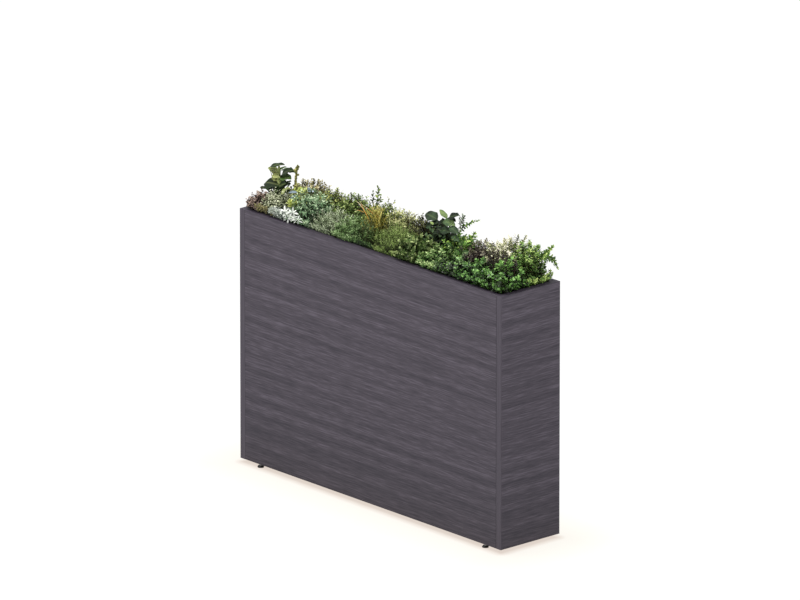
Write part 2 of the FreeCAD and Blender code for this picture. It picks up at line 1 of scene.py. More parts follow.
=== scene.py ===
# %% [markdown]
# # A planter divider, dressed for the camera
#
# The real object is a long, narrow case of dark woodgrain board, as high as a bar. Three trays stand
# in its open top, and each holds a block of foam, a bed of moss and two rows of artificial plants.
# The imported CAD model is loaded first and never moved. Boards, bands, trays and feet keep their CAD
# shape and get a better finish. Everything soft, which is moss, foam and greenery, is made here.

# %% Load the frame
import json
import math
from collections import namedtuple

import bpy
import numpy as np
from mathutils import Matrix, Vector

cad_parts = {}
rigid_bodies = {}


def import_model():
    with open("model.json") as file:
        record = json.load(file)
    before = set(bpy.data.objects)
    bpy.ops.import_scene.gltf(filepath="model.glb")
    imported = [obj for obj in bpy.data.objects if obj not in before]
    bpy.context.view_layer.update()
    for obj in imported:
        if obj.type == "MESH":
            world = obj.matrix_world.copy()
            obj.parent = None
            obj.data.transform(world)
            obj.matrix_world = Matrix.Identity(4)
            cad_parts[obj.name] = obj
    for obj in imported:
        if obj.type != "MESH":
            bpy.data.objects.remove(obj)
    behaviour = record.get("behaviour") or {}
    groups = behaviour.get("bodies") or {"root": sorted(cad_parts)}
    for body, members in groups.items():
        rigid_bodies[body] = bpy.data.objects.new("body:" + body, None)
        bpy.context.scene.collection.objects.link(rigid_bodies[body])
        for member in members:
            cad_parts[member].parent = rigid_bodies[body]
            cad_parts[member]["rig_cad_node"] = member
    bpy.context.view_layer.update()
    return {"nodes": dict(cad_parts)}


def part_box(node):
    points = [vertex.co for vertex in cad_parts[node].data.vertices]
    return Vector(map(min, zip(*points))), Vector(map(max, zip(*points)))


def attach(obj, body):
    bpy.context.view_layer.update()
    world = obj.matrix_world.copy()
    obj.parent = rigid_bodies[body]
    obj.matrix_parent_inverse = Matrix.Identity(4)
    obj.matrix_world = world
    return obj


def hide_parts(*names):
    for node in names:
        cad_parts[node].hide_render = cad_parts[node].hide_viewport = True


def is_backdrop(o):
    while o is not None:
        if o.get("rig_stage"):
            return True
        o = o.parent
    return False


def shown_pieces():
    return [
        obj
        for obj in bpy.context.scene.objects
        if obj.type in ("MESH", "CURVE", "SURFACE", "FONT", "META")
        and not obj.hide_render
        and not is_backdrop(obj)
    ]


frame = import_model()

nodes = frame["nodes"]

# %% [markdown]
# ## Where the camera stands
#
# The photograph shows almost no perspective: the case's upright edges stay parallel and both ends are
# nearly as high. So the camera stands far off with a long lens. Its direction, distance and focal
# length come from the case's corners in the photograph, whose real places are known. The same
# numbers turn a pixel of the photograph into a point on an upright plane, which later tells where
# a single leaf or twig ends.

# %% The eye and the three directions of the picture
AZIMUTH, ELEVATION = math.radians(48.276), math.radians(17.808)
DISTANCE = 67.026
FOCAL_PIXELS = 17262.4
PHOTO_WIDTH, PHOTO_HEIGHT = 800, 600
AIM = np.array([0.0, 0.0, 0.5285])
AIM_U, AIM_V = 398.90, 370.14

into_photo = np.array([
    -math.sin(AZIMUTH) * math.cos(ELEVATION),
    math.cos(AZIMUTH) * math.cos(ELEVATION),
    -math.sin(ELEVATION),
])
to_right = np.array([math.cos(AZIMUTH), math.sin(AZIMUTH), 0.0])
to_top = np.cross(to_right, into_photo)
pixel_size = DISTANCE / FOCAL_PIXELS
eye = AIM - into_photo * DISTANCE
eye = eye - to_right * (AIM_U - PHOTO_WIDTH / 2) * pixel_size
eye = eye + to_top * (AIM_V - PHOTO_HEIGHT / 2) * pixel_size
print("eye at", np.round(eye, 2), "and one pixel is", round(pixel_size * 1000, 2), "mm")

# %% The camera
SENSOR = 36.0


def stood(side, up, back, place):
    """The matrix of a thing whose own x, y and z point to the side, up and back."""
    turned = np.eye(4)
    turned[:3] = np.column_stack([side, up, back, place])
    return Matrix(turned.tolist())


lens = bpy.data.cameras.new("camera")
lens.sensor_width = SENSOR
lens.lens = FOCAL_PIXELS * SENSOR / PHOTO_WIDTH
lens.clip_start, lens.clip_end = 1.0, 400.0
camera = bpy.data.objects.new("camera", lens)
camera.matrix_world = stood(to_right, to_top, -into_photo, eye)
scene = bpy.context.scene
scene.collection.objects.link(camera)
scene.camera = camera
print("lens", round(lens.lens, 1), "mm")


# %% From a pixel to a point
def seen_at(u, v, y):
    """The point that the photograph shows at pixel (u, v), on the upright plane at depth y: the ray
    from the eye through the pixel, followed until it has that y."""
    across = (u - PHOTO_WIDTH / 2) / FOCAL_PIXELS
    down = (v - PHOTO_HEIGHT / 2) / FOCAL_PIXELS
    ray = into_photo + to_right * across - to_top * down
    return eye + ray * (y - eye[1]) / ray[1]


print("the near top corner of the case is at", np.round(seen_at(501.9, 294.0, -0.1239), 3))

# %% [markdown]
# ## Light, backdrop and floor
#
# The photograph is a studio picture on white: soft light from all round, a little more from the left
# in front, and a floor so bright that only the strip beneath the case keeps a faint warm tint.
# A white surround gives the soft light, one large lamp from above gives the leaves their bright tops,
# and two small ones light the front and the end from above, so that both darken a little downwards.

# %% The surround
scene.view_settings.view_transform = "Standard"
world = bpy.data.worlds.new("surround")
scene.world = world
world.use_nodes = True
surround = world.node_tree
surround.nodes.clear()
sky_seen = surround.nodes.new("ShaderNodeBackground")
sky_seen.inputs["Strength"].default_value = 1.0
sky_light = surround.nodes.new("ShaderNodeBackground")
sky_light.inputs["Color"].default_value = (0.97, 0.985, 1.0, 1)
sky_light.inputs["Strength"].default_value = 0.45
which_ray = surround.nodes.new("ShaderNodeLightPath")
either = surround.nodes.new("ShaderNodeMixShader")
surround_out = surround.nodes.new("ShaderNodeOutputWorld")
surround.links.new(which_ray.outputs["Is Camera Ray"], either.inputs["Fac"])
surround.links.new(sky_light.outputs["Background"], either.inputs[1])
surround.links.new(sky_seen.outputs["Background"], either.inputs[2])
surround.links.new(either.outputs["Shader"], surround_out.inputs["Surface"])
print("surround of", len(surround.nodes), "nodes")

# %% The lamps
CASE_TOP = np.array([0, 0, 1.0])


def unit(vectors):
    """Each vector divided by its length."""
    return vectors / np.maximum(np.linalg.norm(vectors, axis=-1, keepdims=True), 1e-9)


def lamp(name, place, size, watts, colour):
    """A square soft lamp at a place, turned towards the top of the case."""
    light = bpy.data.lights.new(name, "AREA")
    light.size, light.energy, light.color = size, watts, colour
    holder = bpy.data.objects.new(name, light)
    back = unit(place - CASE_TOP)
    side = unit(np.cross([0, 0, 1.0], back))
    holder.matrix_world = stood(side, np.cross(back, side), back, place)
    scene.collection.objects.link(holder)


lamp("front_lamp", (-0.9, -2.2, 3.0), 1.6, 46, (1.0, 0.99, 0.97))
lamp("end_lamp", (2.1, -0.5, 2.7), 1.0, 24, (1.0, 0.99, 0.97))
lamp("top_lamp", (-0.6, -0.4, 5.0), 1.6, 150, (1.0, 0.98, 0.94))

# %% [markdown]
# ## Writing a finish as a sum
#
# Every finish here is built from nodes, because a finish made of formulas stays sharp at any size and
# needs no picture. Wiring Math nodes by hand is hard to read, so one small class wraps a socket and
# lets it be added, multiplied and compared like a number. A finish has one method for any other node.


# %% A value that varies over a surface
class Value:
    """An output of a node, used like a number: each sign adds one Math node to the finish."""

    def __init__(self, finish, socket):
        self.finish, self.socket = finish, socket

    def worked(self, operation, *numbers):
        return self.finish.node("ShaderNodeMath", {"operation": operation}, numbers)

    def __add__(self, other):
        return self.worked("ADD", self, other)

    __radd__ = __add__

    def __sub__(self, other):
        return self.worked("SUBTRACT", self, other)

    def __rsub__(self, other):
        return self.worked("SUBTRACT", other, self)

    def __mul__(self, other):
        return self.worked("MULTIPLY", self, other)

    def __pow__(self, other):
        return self.worked("POWER", self, other)

    def __abs__(self):
        return self.worked("ABSOLUTE", self)

    def at_least(self, lowest):
        return self.worked("MAXIMUM", self, lowest)

    def sine(self):
        return self.worked("SINE", self)

    def above(self, edge, soft):
        """0 below the edge and 1 above it, with a soft step between."""
        return self.finish.node(
            "ShaderNodeMapRange", {"interpolation_type": "SMOOTHSTEP"},
            {"Value": self, "From Min": edge - soft, "From Max": edge + soft},
        )


# %% Colours
def linear(code):
    """A colour code such as 5a4f3c as linear red, green and blue."""
    parts = [int(code[i:i + 2], 16) / 255 for i in (0, 2, 4)]
    return [c / 12.92 if c <= 0.04045 else ((c + 0.055) / 1.055) ** 2.4 for c in parts] + [1.0]


print("middle grey is", np.round(linear("808080"), 3))


# %% A finish
class Finish:
    """A material on one Principled shader, with its other nodes added by node()."""

    def __init__(self, name, roughness=0.5, **fixed):
        self.material = bpy.data.materials.new(name)
        self.material.use_nodes = True
        self.tree = self.material.node_tree
        self.tree.nodes.clear()
        self.shader = self.tree.nodes.new("ShaderNodeBsdfPrincipled")
        out = self.tree.nodes.new("ShaderNodeOutputMaterial")
        self.tree.links.new(self.shader.outputs["BSDF"], out.inputs["Surface"])
        self.shader.inputs["Roughness"].default_value = roughness
        for socket, number in fixed.items():
            self.shader.inputs[socket.replace("_", " ")].default_value = number

    def node(self, kind, settings, inputs, output=0):
        """One node of a kind: its settings first, then the numbers or links of its inputs."""
        made = self.tree.nodes.new(kind)
        for key, setting in settings.items():
            setattr(made, key, setting)
        pairs = inputs.items() if isinstance(inputs, dict) else enumerate(inputs)
        for key, given in pairs:
            if isinstance(given, Value):
                self.tree.links.new(given.socket, made.inputs[key])
            else:
                made.inputs[key].default_value = given
        return Value(self, made.outputs[output])

    def feed(self, **links):
        """Lead values to sockets of the shader."""
        for socket, given in links.items():
            self.tree.links.new(given.socket, self.shader.inputs[socket.replace("_", " ")])
        return self

    def place(self):
        """The point on the object, as x, y and z."""
        point = self.node("ShaderNodeTexCoord", {}, {}, "Object")
        return [self.node("ShaderNodeSeparateXYZ", {}, [point], axis) for axis in range(3)]

    def on_leaf(self, axis):
        """Where on its leaf a point lies, from 0 to 1: along the leaf on axis 0, across it on axis 1."""
        spot = self.node("ShaderNodeUVMap", {"uv_map": "leaf"}, {})
        return self.node("ShaderNodeSeparateXYZ", {}, [spot], axis)

    def tone(self):
        """The tone that a mesh stores for each of its leaves."""
        return self.node("ShaderNodeAttribute", {"attribute_name": "tone"}, {}, "Fac")

    def noise(self, x, y, z, detail=2.0, roughness=0.5):
        """Smooth noise from 0 to 1 at a point whose axes are already scaled."""
        point = self.node("ShaderNodeCombineXYZ", {}, [x, y, z])
        return self.node("ShaderNodeTexNoise", {}, {
            "Vector": point, "Scale": 1.0, "Detail": detail, "Roughness": roughness,
        })

    def grain(self, scales, detail=2.0, roughness=0.5):
        """Noise at the point on the object, its axes scaled by one number or by three."""
        scaled = [axis * scale for axis, scale in zip(self.place(), np.broadcast_to(scales, 3).tolist())]
        return self.noise(*scaled, detail, roughness)

    def blend(self, share, first, second):
        """One colour turning into another as the share goes from 0 to 1."""
        return self.node("ShaderNodeMix", {"data_type": "RGBA"}, {0: share, 6: first, 7: second}, 2)

    def ramp(self, share, stops):
        """Colours that follow each other at given shares."""
        made = self.tree.nodes.new("ShaderNodeValToRGB")
        points = made.color_ramp.elements
        while len(points) < len(stops):
            points.new(0.5)
        for point, (at, code) in zip(points, stops):
            point.position, point.color = at, linear(code)
        self.tree.links.new(share.socket, made.inputs[0])
        return Value(self, made.outputs[0])

    def bump(self, height, strength, depth):
        """Small relief from a height that goes from 0 to 1, with its depth in metres."""
        return self.node("ShaderNodeBump", {}, {"Strength": strength, "Distance": depth, "Height": height})


def dress(finish, *names):
    """Give CAD nodes a finish in place of their plain colour."""
    for name in names:
        mesh = nodes[name].data
        mesh.materials.clear()
        mesh.materials.append(finish.material)
    print(finish.material.name, "on", ", ".join(names))


# %% [markdown]
# ## The floor
#
# It is one plain sheet that glows white. Close round the case its glow turns to a warm grey, which is
# the faint shade that the photograph keeps there: it is a ramp over the distance to the footprint.

# %% The floor
FLOOR_HALF = 40.0
SHADE_X, SHADE_Y = 0.750, 0.142
corners = np.array([[-1, -1, 0], [1, -1, 0], [1, 1, 0], [-1, 1, 0]]) * FLOOR_HALF
floor_mesh = bpy.data.meshes.new("floor")
floor_mesh.from_pydata(corners.tolist(), [], [(0, 1, 2, 3)])
floor = bpy.data.objects.new("floor", floor_mesh)
scene.collection.objects.link(floor)
floor_finish = Finish("floor", 0.9, Specular_IOR_Level=0.1)
x, y, z = floor_finish.place()
past_end = (abs(x) - SHADE_X).at_least(0.0)
past_side = (abs(y) - SHADE_Y).at_least(0.0)
away = (past_end * past_end + past_side * past_side) ** 0.5
cloud = floor_finish.noise(x * 14, y * 14, z)
floor_finish.feed(
    Base_Color=floor_finish.blend(cloud, linear("3a3a39"), linear("424241")),
    Emission_Color=floor_finish.ramp(away + (cloud - 0.5) * 0.006, [
        (0.0, "dfd3c9"), (0.018, "ede4db"), (0.040, "faf6ef"), (0.12, "fcfaf3"), (0.32, "ffffff"),
    ]),
)
floor_finish.shader.inputs["Emission Strength"].default_value = 1.0
floor_mesh.materials.append(floor_finish.material)
floor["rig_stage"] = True

# %% [markdown]
# ## Woodgrain laminate
#
# The boards are chipboard with a printed skin: dark grey with a breath of purple and streaked along
# the board, with painted shade that darkens it a little towards the floor. Soft rings 65 mm apart and
# broad bands of stretched noise run on along the whole board, and short streaks and hair lines of the
# same noise, less stretched, lie inside them. The grain runs level on all four boards, so x and y
# together serve as the one direction along the grain. A dark line marks the joint between a long
# board and an end board.

# %% The laminate
RINGS_PER_METRE = 15.4
FULL_TURN = 6.2832
JOINT_FROM, JOINT_TO, JOINT_SOFT = 0.7322, 0.7345, 0.0006


def woodgrain(name, dark, middle, light):
    """A wave over the level and noise stretched along x + y: rings, bands, streaks, then hair lines, with
    painted shade near the floor.
    """
    finish = Finish(name, 0.5, Specular_IOR_Level=0.22)
    x, y, z = finish.place()
    along = x + y * 1.07
    level = z + finish.noise(along * 0.9, z * 2.0, 3.0) * 0.008
    phase = level * RINGS_PER_METRE + finish.noise(along * 0.3, z * 9.0, 9.0, 1.0) * 0.9
    rings = (phase * FULL_TURN).sine()
    bands = finish.noise(along * 0.12, level * 34.0, 7.0, 1.0)
    streaks = finish.noise(along * 3.5, level * 150.0, 1.0, 2.0, 0.6)
    hairs = finish.noise(along * 15.0, level * 260.0, 5.0, 2.0)
    # Painted shade: the boards turn a little darker towards the floor, below 0.4 m.
    low = 1 - z.above(0.2, 0.2)
    share = rings * 0.024 + bands * 0.24 + streaks * 0.34 + hairs * 0.46 - low * 0.06 - 0.012
    colour = finish.ramp(share, [(0.36, dark), (0.52, middle), (0.66, light)])
    joint = abs(x).above(JOINT_FROM, JOINT_SOFT) * (1 - abs(x).above(JOINT_TO, JOINT_SOFT))
    return finish.feed(
        Base_Color=finish.blend(joint * 0.8, colour, linear("17151a")),
        Roughness=0.46 + streaks * 0.14,
        Normal=finish.bump(streaks * 0.6 + hairs * 0.4, 0.3, 0.0004),
    )


dress(woodgrain("laminate", "36323b", "4a444d", "605964"),
      "front_panel", "back_panel", "left_end_panel", "right_end_panel")

# %% [markdown]
# ## Edge bands
#
# The raw edges of the boards are covered with plastic band of the same tone. The upright bands at
# the corners look plainer and a little lighter than the grain, with faint lines up and down. The
# bands along the rim look darker, with a worn sheen on their rounded corners.


# %% The bands
def band(name, dark, light, stretch, roughness):
    """Plain plastic with faint lines along the band and small specks of wear."""
    finish = Finish(name, roughness, Specular_IOR_Level=0.3)
    lines = finish.grain(stretch)
    specks = finish.grain(700, 1.0)
    colour = finish.blend(lines, linear(dark), linear(light))
    return finish.feed(
        Base_Color=finish.blend(specks.above(0.66, 0.05) * 0.25, colour, linear(light)),
        Roughness=roughness - 0.05 + specks * 0.1,
        Normal=finish.bump(lines, 0.2, 0.0003),
    )


dress(band("upright_band", "38333c", "544d58", (260, 260, 5), 0.5), "upright_edge_bands")
dress(band("top_band", "353039", "433d48", (14, 14, 300), 0.42), "top_edge_bands")
dress(band("bottom_band", "2b282d", "37343a", (14, 14, 300), 0.5), "bottom_edge_bands")

# %% [markdown]
# ## Boards, cleats and dowels inside the case
#
# They show when the trays are lifted out. The shelf, base and divider are pale melamine board, the
# cleats are planed softwood and the dowels hardwood. All three are stretched noise again, at the
# scale that each material has.


# %% Inner woods
def timber(name, dark, light, stretch, roughness, pores):
    """Long growth lines from noise stretched by three numbers, with pores six times as fine."""
    finish = Finish(name, roughness)
    lines = finish.grain(stretch, 4.0, 0.6)
    pits = finish.grain([6 * scale for scale in stretch], 1.0).above(0.62, 0.04) * pores
    colour = finish.blend(lines.above(0.5, 0.28), linear(dark), linear(light))
    return finish.feed(
        Base_Color=finish.blend(pits, colour, linear(dark)),
        Roughness=roughness + pits * 0.2,
        Normal=finish.bump(lines - pits * 0.5, 0.3, 0.0004),
    )


dress(timber("inner_board", "8d8780", "b3ada5", (60, 60, 60), 0.6, 0.3),
      "base_panel", "center_divider", "planter_shelf")
dress(timber("softwood", "a9814f", "dcbc8a", (3, 30, 90), 0.65, 0.2), "shelf_cleats")
dress(timber("hardwood", "a97c4c", "cfa777", (25, 25, 180), 0.6, 0.5), "dowels")

# %% [markdown]
# ## Metal and plastic fittings
#
# Cast zinc cams, bright steel bolts and screws, brass-coloured inserts and black levelling feet. Cast
# metal has a grainy skin, turned metal has fine rings round its axis, and moulded plastic has a soft
# orange-peel surface with dust in it.


# %% Metal
def metal(name, dark, light, roughness, scale, rings):
    """Metal whose tone and relief follow noise, or fine rings that climb along z."""
    finish = Finish(name, roughness, Metallic=1.0)
    skin = finish.grain((scale, scale, scale * rings), 3.0)
    return finish.feed(
        Base_Color=finish.blend(finish.grain(90), linear(dark), linear(light)),
        Roughness=roughness - 0.1 + skin * 0.2,
        Normal=finish.bump(skin, 0.3, 0.0002),
    )


FEET = [f"{depth}_{side}_foot" for depth in ("front", "back") for side in ("left", "right")]
dress(metal("cam_zinc", "8f9194", "b9bbbd", 0.45, 700, 1.0), "cam_housings")
dress(metal("bright_steel", "9b9a98", "c9c8c5", 0.3, 500, 4.0), "cam_bolts", "wood_screws")
dress(metal("insert_steel", "8a7f63", "b8ad8d", 0.4, 500, 4.0), "foot_inserts")
dress(metal("foot_steel", "77787a", "a5a6a8", 0.35, 500, 6.0), *[foot + "_stem" for foot in FEET])


# %% Plastic
def moulded(name, dark, light, roughness):
    """Moulded plastic: a fine orange-peel skin and a dusting that dulls it in patches."""
    finish = Finish(name, roughness)
    dust = finish.grain(25, 4.0, 0.6)
    return finish.feed(
        Base_Color=finish.blend(dust.above(0.55, 0.2), linear(dark), linear(light)),
        Roughness=roughness + dust * 0.2 - 0.08,
        Normal=finish.bump(finish.grain(900), 0.25, 0.0003),
    )


dress(moulded("foot_plastic", "0b0b0c", "1a1a1b", 0.5), *[foot + "_pad" for foot in FEET])
dress(moulded("liner_plastic", "17181a", "26272a", 0.5), "left_liner", "middle_liner", "right_liner")

# %% [markdown]
# ## Sheets and tubes
#
# A plant is thousands of small leaves, so each leaf has to be cheap: a sheet of a few points that is
# worked out from two parameters, one from stalk to tip and one from edge to edge. All leaves of a
# layer are worked out at once as one array, and a gatherer turns these arrays into one mesh. It also
# stores where on its leaf each point lies and a tone for each leaf, which the finishes read later.


# %% Gathering grids into one mesh
class Gatherer:
    """Grids of points, gathered until they are put into one mesh."""

    def __init__(self):
        self.points, self.faces, self.spots, self.tones = [], [], [], []
        self.count = 0

    def add(self, grids, tone, tube=False):
        """Add n grids of rows by columns: neighbours in a grid make a face, and a tube's last column
        meets its first."""
        n, rows, columns = grids.shape[:3]
        across = columns if tube else columns - 1
        r, c = np.meshgrid(np.arange(rows - 1), np.arange(across), indexing="ij")
        corner, after = r * columns + c, r * columns + (c + 1) % columns
        quad = np.stack([corner, after, after + columns, corner + columns], -1).reshape(1, -1, 4)
        start = self.count + np.arange(n) * rows * columns
        self.faces.append((start[:, None, None] + quad).reshape(-1, 4))
        s, t = np.meshgrid(np.linspace(0, 1, rows), np.linspace(0, 1, columns), indexing="ij")
        self.spots.append(np.tile(np.stack([s, t], -1).reshape(-1, 2), (n, 1)))
        self.tones.append(np.repeat(np.broadcast_to(tone, n), rows * columns))
        self.points.append(grids.reshape(-1, 3))
        self.count += n * rows * columns

    def mesh(self, name):
        """The gathered grids as one mesh, with the place on each leaf as its UV map."""
        points, faces = np.concatenate(self.points), np.concatenate(self.faces)
        spots, tones = np.concatenate(self.spots), np.concatenate(self.tones)
        mesh = bpy.data.meshes.new(name)
        mesh.vertices.add(len(points))
        mesh.vertices.foreach_set("co", points.astype(np.float32).ravel())
        mesh.loops.add(faces.size)
        mesh.loops.foreach_set("vertex_index", faces.astype(np.int32).ravel())
        mesh.polygons.add(len(faces))
        mesh.polygons.foreach_set("loop_start", np.arange(0, faces.size, 4, dtype=np.int32))
        mesh.update(calc_edges=True)
        uv = mesh.uv_layers.new(name="leaf")
        uv.data.foreach_set("uv", spots[faces.ravel()].astype(np.float32).ravel())
        tone = mesh.attributes.new("tone", "FLOAT", "POINT")
        tone.data.foreach_set("value", tones.astype(np.float32))
        mesh.polygons.foreach_set("use_smooth", np.ones(len(faces), bool))
        return mesh


# %% Putting a piece into the scene
def stand(name, mesh, finish, body, slot, *stands_for):
    """Put a mesh into the scene as a piece: its finish, the body it rides on, the record's slot it
    takes its finish from, which is not used, and the CAD nodes it stands for."""
    mesh.materials.append(finish.material)
    made = bpy.data.objects.new(name, mesh)
    scene.collection.objects.link(made)
    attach(made, body)
    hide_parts(*stands_for)


# %% [markdown]
# ## The outline of a leaf
#
# Leaves differ in where they are widest, how pointed they are, and whether their edge is cut into
# lobes. A sine of the way along the leaf gives them all: a power inside it moves the widest place,
# a power outside it sharpens or blunts the ends, and a slow ripple cuts the lobes.

# %% Leaf forms
Form = namedtuple("Form", "width belly taper rows columns lobes cut")
OVAL = Form(0.52, 1.0, 0.75, 5, 3, 0, 0)
SPOON = Form(0.56, 1.35, 0.7, 5, 3, 0, 0)
LANCE = Form(0.30, 0.8, 1.0, 5, 3, 0, 0)
NARROW = Form(0.17, 0.8, 0.9, 4, 3, 0, 0)
NEEDLE = Form(0.13, 0.7, 0.7, 3, 2, 0, 0)
PLUMP = Form(0.60, 1.5, 0.6, 5, 3, 0, 0)
BROAD = Form(0.62, 0.85, 0.72, 13, 9, 0, 0)
FINGER = Form(0.30, 1.2, 0.8, 5, 3, 0, 0)
CURLY = Form(0.26, 1.1, 0.7, 9, 3, 3, 0.55)
BLADE = Form(0.045, 0.5, 0.6, 9, 3, 0, 0)
STRAND = Form(0.16, 0.8, 0.7, 4, 2, 0, 0)
MINIMUM_EDGE = 0.05


def outline(form, s):
    """Half the width at share s of the length: a sine of s to one power, raised to another, with a
    ripple that cuts lobes, and never quite nothing at the ends."""
    half = np.sin(np.pi * np.clip(s, 0, 1) ** form.belly) ** form.taper
    lobes = 1 - form.cut * (0.5 + 0.5 * np.cos(2 * np.pi * form.lobes * s))
    return form.width / 2 * (half * lobes + MINIMUM_EDGE)


print("an oval leaf is", [round(float(w) * 2, 2) for w in outline(OVAL, np.array([0.1, 0.5, 0.9]))], "wide")


# %% Leaf sheets
def leaf_sheets(base, ahead, face, length, form, bend=0.6, cup=0.25, ripple=0.0):
    """Leaf i as a grid in s, from stalk to tip, and t, from edge to edge. Its midrib is an arc that
    sets out along `ahead` and bends away from `face`; its half width is the outline's; its edges
    rise towards `face` by `cup` of their distance from the midrib, plus a ripple along s."""
    s = np.linspace(0, 1, form.rows)
    t = np.linspace(-1, 1, form.columns)
    turn = np.broadcast_to(bend, length.shape)[:, None] + 1e-3
    run = (np.sin(turn * s) / turn)[..., None] * ahead[:, None]
    drop = ((1 - np.cos(turn * s)) / turn)[..., None] * face[:, None]
    side = np.cross(face, ahead)[:, None, None]
    half = outline(form, s)[:, None]
    out = (half * t)[None, ..., None]
    wave = (ripple * np.sin(9 * s)[:, None] * t ** 2 * half)[None, ..., None]
    rise = (abs(out) * cup + wave) * face[:, None, None]
    unit_leaf = (run - drop)[:, :, None] + out * side + rise
    return base[:, None, None] + unit_leaf * length[:, None, None, None]


# %% [markdown]
# ## Stems
#
# A stem is a bent line from the foam to its tip, so three points and the quadratic curve through
# them are enough. Stems of a bush fan out to a dome: their tips follow the golden angle, which
# spreads them evenly however many there are, and the round of tips is squared off a little, because
# neighbours in a full tray press each other into squarish heads.

# %% Measures of the case
BAND_HEIGHT, ROOT_DEPTH, LINER_GAP = 0.002, 0.004, 0.004
RIM = float(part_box("front_panel")[1].z) + BAND_HEIGHT
ROOT_LEVEL = float(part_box("left_moss_layer")[1].z) - ROOT_DEPTH
WALL_X = float(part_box("front_panel")[1].x)
WALL_Y = float(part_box("left_liner")[1].y) + LINER_GAP
TRAYS = {name: [float(c.x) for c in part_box(name + "_liner")] for name in ("left", "middle", "right")}
print("rim", round(RIM, 4), "moss", round(ROOT_LEVEL, 4), "walls", round(WALL_X, 4), round(WALL_Y, 4))

# %% Curves and what goes round them
SIDEWAYS = [1.0, 0.13, 0.05]


def curve(bends, shares):
    """Points and directions at shares of the quadratic curves through rows of three points."""
    a, b, c = (bends[:, None, i] for i in range(3))
    t = shares[None, :, None]
    points = (1 - t) ** 2 * a + 2 * t * (1 - t) * b + t ** 2 * c
    return points, unit(2 * (1 - t) * (b - a) + 2 * t * (c - b))


def around(ahead, turn):
    """Directions square to `ahead`, turned round it by an angle. SIDEWAYS only says where the angle
    starts, and no stem points that way."""
    side = unit(np.cross(ahead, SIDEWAYS))
    return side * np.cos(turn)[..., None] + np.cross(ahead, side) * np.sin(turn)[..., None]


def stem_tubes(bends, thick, thin, rows=5, sides=4):
    """A round profile carried along each curve, from thick at the root to thin at the tip."""
    shares = np.linspace(0, 1, rows)
    points, ahead = curve(bends, shares)
    radius = (thick + (thin - thick) * shares)[None, :, None, None]
    return points[:, :, None] + radius * around(ahead[:, :, None], np.arange(sides) * 2 * np.pi / sides)


# %% Fans of stems
GOLDEN = math.radians(137.508)
ANY_TURN = (0, 6.28)
SQUARE = 0.6
ROOT_SHARE, WAIST_SHARE = 0.45, 0.16


def fan(rng, centre, spread, rise, count, edge=0.5, jitter=0.12, wide=1.0):
    """Bent stems from the moss to a dome of tips: tip i lies at a share of the spread that grows with
    the root of i, turned by i golden angles, and its height falls off towards the edge. `wide`
    stretches the head along the case."""
    i = np.arange(count)
    share = np.sqrt((i + 0.5) / count)
    turn = i * GOLDEN + rng.uniform(*ANY_TURN)
    stretch = 1 / np.maximum(abs(np.cos(turn)), abs(np.sin(turn)))
    reach = (spread * share * (1 + SQUARE * (stretch - 1) * share))[:, None]
    height = (RIM + rise - ROOT_LEVEL) * (1 - edge * share ** 2.2)
    height = height * (1 + rng.normal(0, jitter, count).clip(-0.3, 0.12))
    plan = np.stack([np.cos(turn) * wide, np.sin(turn)], -1)
    tip = np.column_stack([centre + reach * plan, ROOT_LEVEL + height])
    root = np.column_stack([centre + ROOT_SHARE * reach * plan, np.full(count, ROOT_LEVEL)])
    waist = root * 0.5 + tip * 0.5
    waist[:, :2] += plan * (WAIST_SHARE * reach) + rng.normal(0, 0.004, (count, 2))
    return np.stack([root, waist, tip], 1)


# %% Skirts of shoots at the rim
SKIRT_COUNT, SKIRT_REACH = 34, 0.062
NEAR_WALL, END_WALL = 0.02, 0.05
LEAN_OUT, LEAN_IN = np.array([-0.024, -0.004, 0.013]), np.array([-0.016, -0.012, -0.004])
RISE_OUT, RISE_IN = 0.020, 0.035


def skirt(rng, centre, spread, tray):
    """Short shoots that come up along each wall near a plant and lean out over the rim, and others
    that stand up straight along the end of the next tray. Each wall is a line at a fixed x or y, and
    shoot i stands somewhere along the plant's stretch of it."""
    shoots = []
    for axis, edges in ((0, TRAYS[tray]), (1, (-WALL_Y, WALL_Y))):
        for way, edge in zip((-1, 1), edges):
            wall = way * edge
            outer = axis == 1 or wall > WALL_X - END_WALL
            if way * centre[axis] + spread < wall - NEAR_WALL:
                continue
            wall = wall if axis else min(wall, WALL_X)
            along = centre[1 - axis] + rng.uniform(-1, 1, SKIRT_COUNT) * min(spread, SKIRT_REACH)
            top = RIM + rng.uniform(0.0, RISE_OUT if outer else RISE_IN, SKIRT_COUNT)
            three = np.empty((SKIRT_COUNT, 3, 3))
            three[:, :, 1 - axis] = along[:, None] + rng.normal(0, 0.004, (SKIRT_COUNT, 3))
            lean = LEAN_OUT if outer else LEAN_IN
            three[:, :, axis] = way * (wall + lean + rng.normal(0, 0.002, (SKIRT_COUNT, 3)))
            three[:, :, 2] = np.column_stack([np.full(SKIRT_COUNT, ROOT_LEVEL), top + 0.003, top + 0.012])
            shoots.append(three)
    return np.concatenate(shoots) if shoots else None


# %% [markdown]
# ## Leaves on stems
#
# Leaves climb a stem in turn, each a golden angle further round than the last, or in opposite pairs.
# Low ones stand well away from the stem and young ones close up round its tip. What would poke
# through a wall of the case or into the next tray is left off, so that a tray still lifts out.

# %% Clothing stems with leaves
TURN_WOBBLE, LEAN_WOBBLE, TONE_WOBBLE = 0.25, 0.16, 0.2
# Tone at the foot of a shoot and its gain towards the tip: partly leaf age, partly painted shade and light.
OLD_SHADED_TONE, YOUNG_LIT_TONE = 0.10, 0.36
HAND_ANGLE = 66


